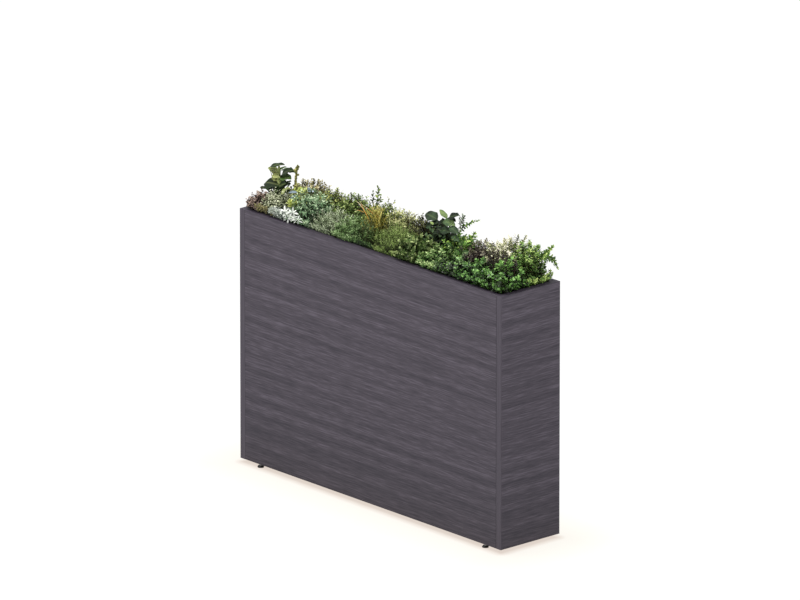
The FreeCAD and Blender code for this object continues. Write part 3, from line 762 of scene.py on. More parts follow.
def clothe(rng, bends, count, length, form, span=(0.35, 1.0), angle=(75, 20), young=0.55, pairs=False,
           bend=0.6, cup=0.25, ripple=0.0, lift=0.0, fingers=1, under=None):
    """Leaf j of each stem sits at a share between the two ends of the span and leans away by an angle
    that closes towards the tip, where leaves are `young` times as long. A leaf with fingers is a hand
    of narrow leaflets, each turned in the leaf's plane and shorter the more it is turned. Gives the
    grids and a tone for each leaf: lighter the further out along its shoot it sits, partly as paler young
    growth and partly as painted light, and darker by the painted shade that `under` gives its shoot."""
    foot, ahead = curve(bends, np.linspace(*span, count))
    n = len(bends)
    order = np.arange(count)
    turn = (order // 2) * np.pi / 2 + (order % 2) * np.pi if pairs else order * GOLDEN
    turn = turn[None] + rng.uniform(*ANY_TURN, (n, 1)) + rng.normal(0, TURN_WOBBLE, (n, count))
    away = around(ahead, turn)
    step = np.linspace(0, 1, count)
    lean = np.radians(angle[0] + (angle[1] - angle[0]) * step)[None]
    lean = lean + rng.normal(0, LEAN_WOBBLE, (n, count))
    out = unit(ahead * np.cos(lean)[..., None] + away * np.sin(lean)[..., None] + np.array([0, 0, lift]))
    face = unit(ahead - out * (ahead * out).sum(-1, keepdims=True))
    size = length * (1 - (1 - young) * step ** 2)[None] * rng.uniform(0.75, 1.2, (n, count))
    hands = []
    for swing in np.radians(np.linspace(-HAND_ANGLE, HAND_ANGLE, fingers) if fingers > 1 else [0.0]):
        finger = out * math.cos(swing) + np.cross(face, out) * math.sin(swing)
        rows = [part.reshape(-1, 3) for part in (foot, finger, face)]
        hands.append(leaf_sheets(*rows, size.ravel() * math.cos(swing * 0.7), form, bend, cup, ripple))
    # Darker leaves near the foot of a shoot and lighter ones at the tip, partly paler young growth and
    # partly painted shade and light; `under` takes off more painted shade.
    tone = OLD_SHADED_TONE + YOUNG_LIT_TONE * step[None] ** 1.5 + rng.normal(0, TONE_WOBBLE, (n, count))
    tone = np.clip(tone if under is None else tone - under[:, None], 0, 1)
    return np.concatenate(hands), np.tile(tone.ravel(), fingers)


# %% Side shoots
def twigs(rng, bends, count, length, span=(0.3, 1.0), angle=(65, 25), lift=0.25):
    """Side shoots: short bent lines that leave each stem as leaves do and turn upwards."""
    foot, ahead = curve(bends, np.linspace(*span, count))
    turn = (np.arange(count) * GOLDEN)[None] + rng.uniform(*ANY_TURN, (len(bends), 1))
    lean = np.radians(np.linspace(*angle, count))[None, :, None]
    out = unit(ahead * np.cos(lean) + around(ahead, turn) * np.sin(lean))
    size = length * rng.uniform(0.7, 1.15, (len(bends), count, 1))
    tip = foot + unit(out + np.array([0, 0, lift])) * size
    return np.stack([foot, foot + out * size * 0.5, tip], 2).reshape(-1, 3, 3)


# %% What fits into the case
LEAN_AT_RIM, LEAN_RATE = 0.0165, 0.4
WALL_GAP, TRAY_GAP = 0.0015, 0.0035
ABOVE_RIM, BELOW_ROOTS = 0.002, 0.003


def fits(grids, tray):
    """True for each grid that keeps inside its own tray's stretch of the case, clears the walls below
    the rim, and leans no more than a little over them above it."""
    low, high = grids.min((1, 2)), grids.max((1, 2))
    left, right = TRAYS[tray]
    over = np.maximum(low[:, 2] - RIM - ABOVE_RIM, 0)
    lean = np.where(over > 0, LEAN_AT_RIM + LEAN_RATE * over, -WALL_GAP)
    from_x = -WALL_X - lean if tray == "left" else left - TRAY_GAP
    to_x = WALL_X + lean if tray == "right" else right + TRAY_GAP
    inside = (low[:, 0] > from_x) & (high[:, 0] < to_x)
    inside &= (low[:, 1] > -WALL_Y - lean) & (high[:, 1] < WALL_Y + lean)
    return inside & (low[:, 2] > ROOT_LEVEL - BELOW_ROOTS)


# %% [markdown]
# ## How a leaf is coloured
#
# No two leaves of a plant have one colour. Each carries a tone: old leaves deep in the bush are dark
# and young ones at the tips are light, partly as paler young growth and partly as painted shade and
# light, and leaves higher up get more painted light. The finish turns that tone into three colours of
# the plant, lightens the midrib, mottles the sheet a little, lays blotches of painted light and shade
# over it, and gives it a soft or waxy sheen.


# %% The finish of leaves and stems
def leafy(name, deep, middle, light, roughness=0.5, rib=0.25, gloss=0.0, mottle=0.25, patchy_tone_and_shade=0.6):
    """Three colours from the leaf's tone, a light rib along its middle, and mottling by noise, whose
    coarse blotches are partly random tone and partly painted light and shade.
    """
    finish = Finish(name, roughness, Coat_Weight=gloss, Coat_Roughness=0.25, Specular_IOR_Level=0.25)
    fleck, patch = finish.grain(420), finish.grain(44, 1.0)
    # Painted light and shade: `patchy_tone_and_shade` scales coarse blotches that lighten and darken the
    # leaves, partly random tone.
    share = finish.tone() + (fleck - 0.5) * mottle + (patch - 0.5) * patchy_tone_and_shade
    colour = finish.ramp(share, [(0.08, deep), (0.5, middle), (0.95, light)])
    off_rib = abs(finish.on_leaf(1) - 0.5) * 2
    ribbed = (1 - off_rib.above(0.12, 0.1)) * rib
    return finish.feed(
        Base_Color=finish.blend(ribbed, colour, linear(light)),
        Roughness=roughness - 0.08 + fleck * 0.16,
        Normal=finish.bump(off_rib * 0.6 + fleck * 0.4, 0.3, 0.0006),
    )


def bark(name, deep, light):
    """Woody stems: streaks and small rings of noise from dark to light."""
    finish = Finish(name, 0.65)
    streak = finish.grain((500, 500, 90), 3.0)
    return finish.feed(
        Base_Color=finish.blend(streak, linear(deep), linear(light)),
        Roughness=0.6 + streak * 0.1,
        Normal=finish.bump(streak, 0.4, 0.0005),
    )


# %% [markdown]
# ## Foam and moss
#
# Each tray is filled with a block of dry foam, and a bed of moss hides it. Foam is a plain block with
# an open-pored skin. Moss is a heaving mat with a short pile of curled strands. Both taper with the
# tray they stand in, so both are one surface: a square of points that lies on top, runs down the
# sides at its border, and closes beneath.

# %% One bed
TAPER = 8.0 / 167.5
SIDE_GAP = 0.0006
EDGE_SHARE, EDGE_DROP = 0.06, 0.002
WAVES, HEAVE_LEVEL = 14, 0.6


def bed(rng, node, heave, cells):
    """A closed slab in a CAD node's box, and the grid on its top: a square grid that heaves by sums
    of sines, with its border on the floor of the slab, and the same border closed beneath by a
    second grid. Its sides draw in by the tray's taper."""
    low, high = (np.array(c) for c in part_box(node))
    a, b = np.meshgrid(*(np.linspace(-1, 1, count) for count in cells), indexing="ij")
    middle, half = (low + high) / 2, (high - low) / 2
    inner = 1 - SIDE_GAP / half[1]
    top = np.stack([middle[0] + a * half[0] * inner, middle[1] + b * half[1] * inner,
                    np.full(a.shape, high[2])], -1)
    waves = rng.uniform(20, 120, (WAVES, 2)) * rng.choice([-1, 1], (WAVES, 2))
    phase = rng.uniform(*ANY_TURN, WAVES)
    relief = sum(np.sin(top[..., 0] * w[0] + top[..., 1] * w[1] + p) for w, p in zip(waves, phase)) / WAVES
    edge = np.minimum(1 - abs(a), 1 - abs(b)).clip(0, EDGE_SHARE) / EDGE_SHARE
    top[..., 2] += heave * (relief - HEAVE_LEVEL) * edge - EDGE_DROP * (1 - edge)
    border = np.zeros(a.shape, bool)
    border[0], border[-1], border[:, 0], border[:, -1] = True, True, True, True
    shrink = 1 - TAPER * (high[2] - low[2]) / half[:2]
    foot = top.copy()
    foot[..., :2] = middle[:2] + (top[..., :2] - middle[:2]) * shrink
    foot[..., 2] = low[2]
    top[border] = foot[border]
    slab = Gatherer()
    slab.add(top[None], 0.5)
    slab.add(foot[::-1][None], 0.3)
    return slab, top


# %% The finish of foam and moss
def mat_finish(name, deep, middle, light, scale, roughness):
    """Matted stuff: three colours over coarse and fine noise, with deep relief."""
    finish = Finish(name, roughness)
    coarse, fine = finish.grain(30), finish.grain(scale, 3.0, 0.7)
    share = finish.tone() * 0.4 + coarse * 0.35 + fine * 0.3 - 0.05
    return finish.feed(
        Base_Color=finish.ramp(share, [(0.2, deep), (0.5, middle), (0.8, light)]),
        Roughness=roughness - 0.05 + fine * 0.1,
        Normal=finish.bump(fine, 0.7, 0.0015),
    )


foam_finish = mat_finish("foam", "1f2a1c", "34432e", "4c5c42", 900, 0.9)
moss_finish = mat_finish("moss", "171c0c", "363d1c", "646a35", 500, 0.95)

# %% Foam blocks and moss beds
STRANDS = 5200
MOSS_HEAVE = 0.006
for seed, tray in enumerate(TRAYS):
    rng = np.random.default_rng(70 + seed)
    body = tray + "_tray"
    block, _ = bed(rng, tray + "_foam_block", 0.0, (24, 14))
    stand(tray + "_foam", block.mesh(tray + "_foam"), foam_finish, body, "foam", tray + "_foam_block")
    mat, top = bed(rng, tray + "_moss_layer", MOSS_HEAVE, (120, 60))
    inside = top[3:-3, 3:-3].reshape(-1, 3)
    foot = inside[rng.integers(0, len(inside), STRANDS)] + rng.normal(0, 0.001, (STRANDS, 3))
    foot[:, 2] -= 0.003
    ahead = unit(rng.normal(0, 1, (STRANDS, 3)) * [1, 1, 0.4] + [0, 0, 0.9])
    face = unit(np.cross(ahead, rng.normal(0, 1, (STRANDS, 3))))
    strands = leaf_sheets(foot, ahead, face, rng.uniform(0.008, 0.016, STRANDS), STRAND, 2.2, 0.2)
    strands = strands[fits(strands, tray)]
    mat.add(strands, rng.uniform(0.1, 1.0, len(strands)))
    stand(tray + "_moss", mat.mesh(tray + "_moss"), moss_finish, body, "moss", tray + "_moss_layer")
    print(tray, "tray:", len(strands), "strands of moss")

# %% [markdown]
# ## The plants
#
# Twenty-seven plants stand in the three trays, in two rows. Each is a recipe: where it stands, how
# far it spreads and rises above the rim, its three colours, and layers of growth. A layer is a fan
# of stems with its own kind of leaf, so a boxwood is one layer of small spoons on many stems, a
# juniper one of needles on side shoots, and a rosette a stem so short that its leaves overlap.

# %% A plant's place and its leaves
green = bark("green_stems", "2b3116", "5f6a33")
woody = bark("woody_stems", "2a1d14", "6b4c33")


def centre_of(node):
    """The middle of a CAD node's box in plan."""
    low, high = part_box(node)
    return (float(low.x + high.x) / 2, float(low.y + high.y) / 2)


def clad(rng, plant, tray, rise, lines, tubes, facts):
    """Add leaves along lines, lighter the higher they sit as painted light, and the lines' own tubes to a
    plant.
    """
    leaves, wood = plant
    facts = dict(facts)
    lighter = facts.pop("lighter", 0.0)
    sheets, tone = clothe(rng, lines, facts.pop("leaves"), **facts)
    # Painted light: the higher above the rim a leaf sits, the lighter its tone.
    high = (sheets[:, 0, 0, 2] - RIM) / rise
    good = fits(sheets, tray)
    leaves.add(sheets[good], np.clip(tone + 0.3 * high.clip(-0.5, 1.2) + lighter, 0, 1)[good])
    for tube in tubes:
        tube = tube[fits(tube, tray)]
        if len(tube):
            wood.add(tube, 0.5, tube=True)


# %% Growing one plant
STEM = 0.0011
grown = {}


def grow(name, tray, spread, rise, finish, layers, stems=green, neighbour=None, over=0.14):
    """One plant: for each layer a fan of stems, side shoots if it has them, and leaves on what is
    outermost, then a skirt of shoots at the rim whose tone `over` shifts, as painted light where it is
    positive and painted shade where it is negative. A neighbour may get the skirt.
    Leaves make one piece and stems another, and both stand for the plant's CAD node."""
    rng = np.random.default_rng(1000 + len(grown))
    centre, plant = centre_of(name), (Gatherer(), Gatherer())
    for layer in layers:
        facts = dict(layer)
        shape = {key: facts.pop(key) for key in ("edge", "jitter", "wide") if key in facts}
        lines = fan(rng, centre, spread * facts.pop("reach", 1.0), rise, facts.pop("stems"), **shape)
        tubes = [stem_tubes(lines, STEM, STEM * 0.45)]
        side, hollow = facts.pop("twigs", None), facts.pop("hollow", 0.4)
        if side:
            # Painted shade: leaves on the lowest side shoots of a stem are darker by `hollow`, less so
            # higher up.
            facts["under"] = np.tile(hollow * np.linspace(1, 0, side["count"]), len(lines))
            lines = twigs(rng, lines, **side)
            tubes.append(stem_tubes(lines, STEM * 0.5, STEM * 0.3, 3, 3))
        clad(rng, plant, tray, rise, lines, tubes, facts)
    shoots = skirt(rng, centre, spread, tray)
    if shoots is not None:
        # Painted light on the skirt at the rim: `over` lightens its leaves, and darkens them as painted
        # shade where it is negative.
        facts.update(lighter=facts.get("lighter", 0.0) + over, span=(0.4, 1.0), lift=0.4, under=None)
        tubes = [stem_tubes(shoots, STEM * 0.6, STEM * 0.4, 4, 3)]
        clad(rng, grown[neighbour][:2] if neighbour else plant, tray, rise, shoots, tubes, facts)
    grown[name] = (*plant, finish, stems, tray)


# %% [markdown]
# ### Low bushes with small glossy leaves
#
# Three boxwoods fill the near end of the case. They have dense, spoon-shaped leaves of about 15 mm,
# bright green and waxy, so that each one catches a glint.

# %% Boxwoods
# `hollow` sets the painted shade on the boxwoods' lowest side shoots.
BOX = [dict(stems=22, twigs=dict(count=6, length=0.025, angle=(80, 35)), leaves=11, length=0.0155,
            form=SPOON, span=(0.25, 1.0), angle=(85, 30), young=0.75, pairs=True, cup=0.3, bend=0.5,
            edge=0.36, jitter=0.22, hollow=0.65)]
# Each row ends with `over`, painted shade on the skirt of shoots at the rim, as it is negative here.
for name, rise, middle, light, over in (
    ("left_boxwood", 0.038, "1b2e13", "7aa258", -0.08),
    ("middle_boxwood", 0.053, "365e27", "86b460", -0.1),
    ("right_boxwood", 0.080, "5e8c40", "8cb862", -0.22),
):
    finish = leafy(name, "040a03", middle, light, roughness=0.4, gloss=0.15, patchy_tone_and_shade=1.0)
    grow(name, "right", 0.072, rise, finish, BOX, over=over)
print("grown:", ", ".join(grown))

# %% [markdown]
# ### Junipers and other needle-leaved plants
#
# Their leaves are needles of 10 to 14 mm on branching shoots, which the eye reads as a soft fine
# texture. Each stem carries side shoots and each shoot a dozen needles.

# %% Needle-leaved plants
NEEDLES = [dict(stems=46, twigs=dict(count=11, length=0.030, angle=(75, 30)), leaves=14, length=0.0105,
                form=NEEDLE, span=(0.1, 1.0), angle=(60, 20), young=0.7, bend=0.3, edge=0.3, jitter=0.18)]
SIDE_SHOOTS = dict(count=8, length=0.026, angle=(78, 35))
SOFT = [dict(stems=42, twigs=SIDE_SHOOTS, leaves=11, length=0.0140, form=NARROW, span=(0.1, 1.0),
             angle=(65, 30), young=0.75, bend=0.6, edge=0.3, jitter=0.18)]
TUFTED = [dict(stems=38, twigs=SIDE_SHOOTS, leaves=10, length=0.0140, form=LANCE, span=(0.1, 1.0),
               angle=(70, 30), young=0.75, bend=0.6, edge=0.3, jitter=0.2)]
for name, tray, spread, rise, colours, layers in (
    ("gray_juniper", "left", 0.072, 0.052, ("202e22", "a6b88e", "f0f5da"), NEEDLES),
    ("green_juniper", "middle", 0.074, 0.050, ("142410", "57783c", "b2cc92"), SOFT),
    ("blue_green_sedum", "left", 0.070, 0.096, ("142218", "6f9268", "d0e2bc"), TUFTED),
    ("moss_green_bush", "middle", 0.074, 0.074, ("1f2b10", "86a250", "bacb80"), NEEDLES),
):
    grow(name, tray, spread, rise, leafy(name, *colours, roughness=0.6, rib=0.1, patchy_tone_and_shade=1.0), layers)
print(len(grown), "plants so far")

# %% [markdown]
# ### Small-leaved bushes
#
# Between the showy plants stand bushes of 10 to 20 mm leaves. They differ in colour, in how pointed
# and how dense the leaves are, and in how ragged their heads look against the white.

# %% Recipes of small-leaved bushes
CLUMPS = dict(count=8, length=0.030, angle=(80, 40))
SMALL = [dict(stems=38, twigs=CLUMPS, leaves=8, length=0.0135, form=OVAL, span=(0.1, 1.0),
              angle=(75, 40), young=0.8, bend=0.6, edge=0.3, jitter=0.12)]
THIN = [dict(stems=42, twigs=CLUMPS, leaves=9, length=0.0145, form=LANCE, span=(0.1, 1.0),
             angle=(65, 35), young=0.85, bend=0.5, edge=0.3, jitter=0.12)]
RAGGED = [dict(stems=30, twigs=CLUMPS, leaves=10, length=0.0120, form=OVAL, span=(0.1, 1.0),
               angle=(80, 40), young=0.8, edge=0.25, jitter=0.2)]
DENSE = [dict(RAGGED[0], stems=32, twigs=dict(CLUMPS, count=9), leaves=11)]
SPREADING = [dict(RAGGED[0], wide=1.6, stems=44)]
# `hollow` sets the painted shade on the lowest side shoots of these bushes.
TIPPED = [dict(DENSE[0], hollow=0.8, lighter=0.1)]
FLESHY = [dict(stems=26, twigs=dict(count=5, length=0.028, angle=(80, 40)), leaves=9, length=0.0190,
               form=PLUMP, span=(0.1, 1.0), angle=(75, 30), bend=-0.4, cup=0.35, edge=0.4, jitter=0.2)]
ROUND = [dict(stems=24, twigs=dict(count=6, length=0.028, angle=(80, 40)), leaves=9, length=0.0165,
              form=OVAL, span=(0.1, 1.0), angle=(75, 35), edge=0.4, jitter=0.2)]
print("a dense bush has", DENSE[0]["stems"] * DENSE[0]["twigs"]["count"], "side shoots")

# %% Small-leaved bushes
# Each row ends with `over`, painted light on the skirt of shoots at the rim.
for name, tray, spread, rise, colours, layers, stems, over in (
    ("burgundy_sprig", "left", 0.034, 0.038, ("180e0d", "483833", "a08c7e"), RAGGED, woody, 0.14),
    ("brown_tip_bush", "left", 0.052, 0.072, ("262312", "6e6b3c", "beb488"), RAGGED, woody, 0.14),
    ("olive_bush", "left", 0.070, 0.061, ("161f09", "526226", "a6ac64"), SMALL, woody, 0.14),
    ("olive_sprig_bush", "left", 0.072, 0.072, ("14200a", "4c662a", "a2b26a"), SMALL, woody, 0.14),
    ("speckled_bush", "middle", 0.070, 0.078, ("0e0d07", "2d3317", "727444"), RAGGED, woody, 0.14),
    ("fleshy_leaf_bush", "middle", 0.072, 0.066, ("14220a", "4d682f", "c0cd8e"), FLESHY, green, 0.14),
    ("light_green_bush", "right", 0.072, 0.050, ("12220b", "4c7432", "bcd08e"), ROUND, green, 0.14),
    ("purple_leaf_bush", "right", 0.072, 0.062, ("0e0a0b", "3b2f30", "86826a"), SPREADING, woody, 0.14),
    ("cream_tip_bush", "right", 0.072, 0.112, ("28300f", "949a66", "f6f0de"), TIPPED, green, 0.14),
    ("drooping_sprig_bush", "right", 0.066, 0.120, ("162a0c", "5a8235", "bcd078"), DENSE, woody, 0.3),
    ("lime_sprig_bush", "right", 0.066, 0.076, ("162a0b", "52802a", "c0d470"), ROUND, green, 0.14),
    ("feather_sprig", "middle", 0.070, 0.078, ("232f14", "949c5e", "dedca8"), THIN, green, 0.14),
    ("orange_twig_sprig", "middle", 0.070, 0.076, ("16210a", "3b5120", "98aa50"), THIN, green, 0.14),
):
    grow(name, tray, spread, rise, leafy(name, *colours, roughness=0.5), layers, stems, over=over)
print(len(grown), "plants so far")

# %% [markdown]
# ### Lace, curls, rosettes and grass
#
# The left tray mixes odd textures: a silvery plant with deeply cut leaves along the rim, a pale sage
# one of fine curls behind it, and lime rosettes. Grass with golden blades stands in the middle tray.

# %% Lace, curls, rosettes and grass
LACY = [dict(stems=16, leaves=6, length=0.030, form=FINGER, fingers=5, span=(0.4, 1.0), angle=(85, 40),
             bend=0.5, cup=0.2, edge=0.2, wide=1.9, lighter=-0.3)]
CURLS = [dict(stems=70, leaves=19, length=0.0200, form=CURLY, span=(0.3, 1.0), angle=(80, 25),
              bend=1.9, cup=0.5, ripple=0.5, edge=0.4)]
ROSETTES = [dict(stems=12, leaves=17, length=0.0190, form=PLUMP, span=(0.86, 1.0), angle=(95, 12),
                 bend=-0.7, cup=0.35, young=0.4, edge=0.5)]
GRASS = [dict(stems=90, leaves=3, length=0.056, form=BLADE, span=(0.55, 0.85), angle=(24, 8),
              bend=0.6, young=0.9, edge=0.2, jitter=0.2, reach=0.45),
         dict(stems=34, twigs=dict(count=7, length=0.028), leaves=10, length=0.0125, form=NARROW,
              span=(0.1, 1.0), angle=(50, 18), edge=0.35, lighter=-0.35)]
# Each row ends with `over`, painted light on the skirt of shoots at the rim, and painted shade where it is
# negative.
for name, tray, spread, rise, colours, layers, neighbour, over in (
    ("silver_lace_leaf", "left", 0.044, 0.038, ("1c2620", "a2ac9f", "f2f5ef"), LACY, None, 0.25),
    ("sage_mound", "left", 0.058, 0.087, ("2c3420", "97a07c", "eaedd2"), CURLS, "brown_tip_bush", -0.05),
    ("lime_rosettes", "left", 0.044, 0.060, ("46601e", "cad478", "f2f5c4"), ROSETTES, None, 0.14),
    ("golden_grass", "middle", 0.052, 0.118, ("2a3a10", "baac46", "ece28a"), GRASS, "green_juniper", 0.14),
):
    finish = leafy(name, *colours, roughness=0.62, rib=0.1)
    grow(name, tray, spread, rise, finish, layers, neighbour=neighbour, over=over)
print(len(grown), "plants so far")

# %% [markdown]
# ### Stalks with large leaves
#
# Two plants carry leaves as long as a hand is wide, and the silvery one carries stars of narrow
# leaflets. Each of these shows in the photograph by itself. Such a leaf is placed by two pixels, one
# at its stalk and one at its tip, on an upright plane through the plant. A low bush hides the feet
# of the stalks.


# %% Large leaves, one by one
def square_to(axis, vector):
    """The direction square to an axis that lies nearest to a vector."""
    return unit(vector - axis * (vector @ axis))


def one_leaf(base, ahead, face, length, *shape):
    """A single leaf as a sheet."""
    return leaf_sheets(base[None], ahead[None], face[None], np.array([length]), *shape)


STALK = 0.0022


def stalk_leaves(name, seed, rows, depth=None, upward=0.9, form=BROAD, cup=0.18, bend=0.55):
    """Leaves from rows of stalk pixel, tip pixel, width, tone and depth, each with a bent stalk from
    the plant's foot, or on the stalk of the leaf before if both start at one pixel. The midrib is an
    arc through both points: it sets out half its bend above the straight line between them, and is
    longer than that line as an arc is than its chord."""
    leaves, wood = grown[name][:2]
    rng = np.random.default_rng(seed)
    centre = centre_of(name)
    depth = centre[1] if depth is None else depth
    root = np.array([*centre, ROOT_LEVEL])
    half_bend, last = bend / 2, None
    for u0, v0, u1, v1, width, tone, nearer in rows:
        base, tip = seen_at(u0, v0, depth + nearer), seen_at(u1, v1, depth + nearer)
        chord = unit(tip - base)
        up = square_to(chord, -into_photo * 0.75 + np.array([0, 0, upward]) + rng.normal(0, 0.12, 3))
        ahead = chord * math.cos(half_bend) + up * math.sin(half_bend)
        face = up * math.cos(half_bend) - chord * math.sin(half_bend)
        length = np.linalg.norm(tip - base) * half_bend / math.sin(half_bend)
        leaves.add(one_leaf(base, ahead, face, length, form._replace(width=width), bend, cup, 0.25), tone)
        if (u0, v0) != last:
            stalk = np.stack([root, root * 0.45 + base * 0.55 + [0, 0, 0.02], base])
            wood.add(stem_tubes(stalk[None], STALK, STALK * 0.5, 8, 6), 0.6, tube=True)
        last = (u0, v0)
    print(name, "gets", len(rows), "large leaves")


# %% The tall plant
tall = "tall_broadleaf"
tall_finish = leafy(tall, "131f0e", "3d5827", "9ca268", roughness=0.45, rib=0.2, mottle=0.4, patchy_tone_and_shade=0.25)
grow(tall, "left", 0.042, 0.098, tall_finish, [
    dict(stems=26, leaves=9, length=0.026, form=OVAL, span=(0.4, 1.0), angle=(80, 30), edge=0.3,
         lighter=-0.1),
])
stalk_leaves(tall, 5, [
    (278.0, 170.6, 267.8, 167.9, 0.34, 0.80, 0.0), (278.8, 173.2, 268.8, 169.6, 0.36, 0.95, 0.006),
    (269.6, 167.6, 285.0, 164.9, 0.26, 0.16, -0.006), (279.4, 170.0, 286.8, 167.0, 0.26, 0.40, -0.01),
    (278.0, 176.0, 271.8, 172.2, 0.42, 0.95, -0.004), (279.4, 181.6, 271.8, 177.8, 0.46, 0.88, -0.01),
    (281.6, 174.8, 293.6, 170.4, 0.56, 0.16, 0.01), (288.0, 171.4, 294.8, 172.6, 0.40, 0.12, 0.008),
    (281.0, 177.2, 291.4, 179.4, 0.66, 0.52, 0.0), (281.0, 186.0, 265.0, 182.8, 0.66, 0.12, -0.02),
    (279.0, 187.6, 266.0, 187.4, 0.60, 0.40, -0.026), (273.0, 191.5, 286.4, 183.5, 0.66, 0.14, -0.02),
    (281.0, 195.0, 289.4, 187.6, 0.40, 0.80, -0.06), (279.4, 178.0, 277.6, 169.4, 0.40, 0.84, 0.0),
    (284.0, 186.0, 291.0, 184.0, 0.50, 0.05, 0.0), (266.5, 188.8, 260.0, 187.2, 0.42, 0.08, -0.02),
    (279.0, 176.0, 284.5, 185.5, 0.60, 0.08, -0.004), (275.5, 177.0, 271.0, 184.0, 0.50, 0.20, -0.004),
    (281.5, 182.0, 287.4, 185.4, 0.60, 0.03, -0.01), (276.0, 184.0, 281.0, 191.5, 0.60, 0.05, -0.02),
    (279.6, 178.6, 271.6, 175.2, 0.44, 0.95, -0.014), (280.4, 171.8, 287.4, 168.6, 0.24, 0.45, -0.012),
    (279.2, 173.6, 279.0, 164.8, 0.34, 0.75, -0.010), (280.4, 185.6, 277.6, 176.8, 0.40, 0.72, -0.016),
    (285.0, 184.5, 291.6, 181.4, 0.44, 0.40, 0.0),
])

# %% The silvery stars
lace = "silver_lace_leaf"
LACE_DEPTH = -0.128
LEAFLETS, LEAFLET_TURN = 7, 0.9
STARS = [
    (275.6, 211.8, 6.0, 0.85), (285.2, 212.0, 7.4, 1.00), (292.4, 212.8, 6.8, 1.00),
    (297.6, 220.2, 6.6, 1.00), (288.6, 218.6, 6.2, 0.95), (280.8, 215.4, 5.2, 0.85),
    (293.8, 218.4, 5.6, 0.95),
]
rng = np.random.default_rng(77)
leaflets = []
for u, v, size, tone in STARS:
    turns = np.arange(LEAFLETS) * LEAFLET_TURN + rng.uniform(*ANY_TURN)
    reaches, swings = rng.uniform(0.7, 1.15, LEAFLETS), rng.normal(0, 0.12, LEAFLETS)
    for turn, reach, swing in zip(turns, reaches, swings):
        u1, v1 = u + reach * size * math.cos(turn), v - reach * size * 0.85 * math.sin(turn)
        leaflets.append((u, v, u1, v1, 0.27, tone + swing - 0.08, -0.01 * tone))
stalk_leaves(lace, 8, leaflets, LACE_DEPTH, upward=0.8, form=FINGER, bend=0.5)

# %% The round-leaved plant
round_leaf = "round_leaf_plant"
ROUND_FILL = BROAD._replace(rows=7, columns=5)
round_finish = leafy(round_leaf, "0e180d", "344b2e", "869a5c", roughness=0.7, rib=0.12, mottle=0.5)
grow(round_leaf, "middle", 0.066, 0.104, round_finish, [
    dict(stems=40, leaves=9, length=0.032, form=ROUND_FILL, span=(0.3, 1.0), angle=(80, 35), edge=0.3,
         lighter=-0.2),
])
stalk_leaves(round_leaf, 6, [
    (437.6, 219.6, 425.8, 213.4, 0.66, 0.24, 0.0), (447.0, 218.6, 439.6, 209.6, 0.44, 0.66, 0.0),
    (449.0, 217.4, 459.4, 215.4, 0.52, 0.10, 0.0), (447.0, 222.8, 453.6, 217.4, 0.50, 0.04, 0.01),
    (443.8, 220.6, 455.4, 225.6, 0.48, 0.52, -0.01), (438.0, 223.0, 425.0, 226.6, 0.52, 0.24, -0.01),
    (441.0, 230.0, 452.0, 232.4, 0.56, 0.30, -0.02), (450.0, 227.0, 458.6, 234.0, 0.56, 0.34, -0.02),
    (437.0, 228.0, 446.0, 234.8, 0.60, 0.06, -0.02), (446.0, 236.0, 438.0, 241.0, 0.60, 0.34, -0.03),
    (433.0, 222.0, 441.0, 228.0, 0.70, 0.03, -0.01), (446.0, 226.5, 438.0, 231.0, 0.60, 0.10, 0.0),
    (446.0, 221.0, 438.5, 226.0, 0.70, 0.12, 0.004), (449.0, 219.0, 456.0, 221.6, 0.60, 0.16, 0.004),
    (440.0, 233.0, 431.0, 236.0, 0.56, 0.20, -0.03), (452.0, 236.0, 459.0, 241.5, 0.56, 0.40, -0.03),
], upward=0.35, bend=0.3)

# %% [markdown]
# ### Sprigs that stand out
#
# The head of the planting is ragged because single sprigs reach out of it. Each is a bent line of
# three pixels at a depth, clothed with leaves like any other stem, so it is the plant's own growth.


# %% A line through three pixels
def pixel_line(pixels, depth):
    """The points at three pixels, given as u, v, u, v, u, v, on an upright plane."""
    return np.array([seen_at(u, v, depth) for u, v in zip(pixels[::2], pixels[1::2])])[None]


def through(line):
    """The same line with its middle point pushed out until the curve itself passes where the point
    was: the curve's middle is half the middle point and a quarter of each end."""
    line[:, 1] = 2 * line[:, 1] - (line[:, 0] + line[:, 2]) / 2
    return line


def sprig(name, pixels, depth, count, length, form, seed, span=(0.15, 1.0), angle=(65, 28), stem=0.0012,
          lighter=0.0, **more):
    """One shoot through three pixels at a depth, with a run of leaves, added to a grown plant."""
    leaves, wood = grown[name][:2]
    line = through(pixel_line(pixels, depth))
    sheets, tone = clothe(np.random.default_rng(seed), line, count, length, form, span, angle, **more)
    leaves.add(sheets, np.clip(tone + lighter, 0, 1))
    wood.add(stem_tubes(line, stem, stem * 0.5, 8, 5), 0.5, tube=True)


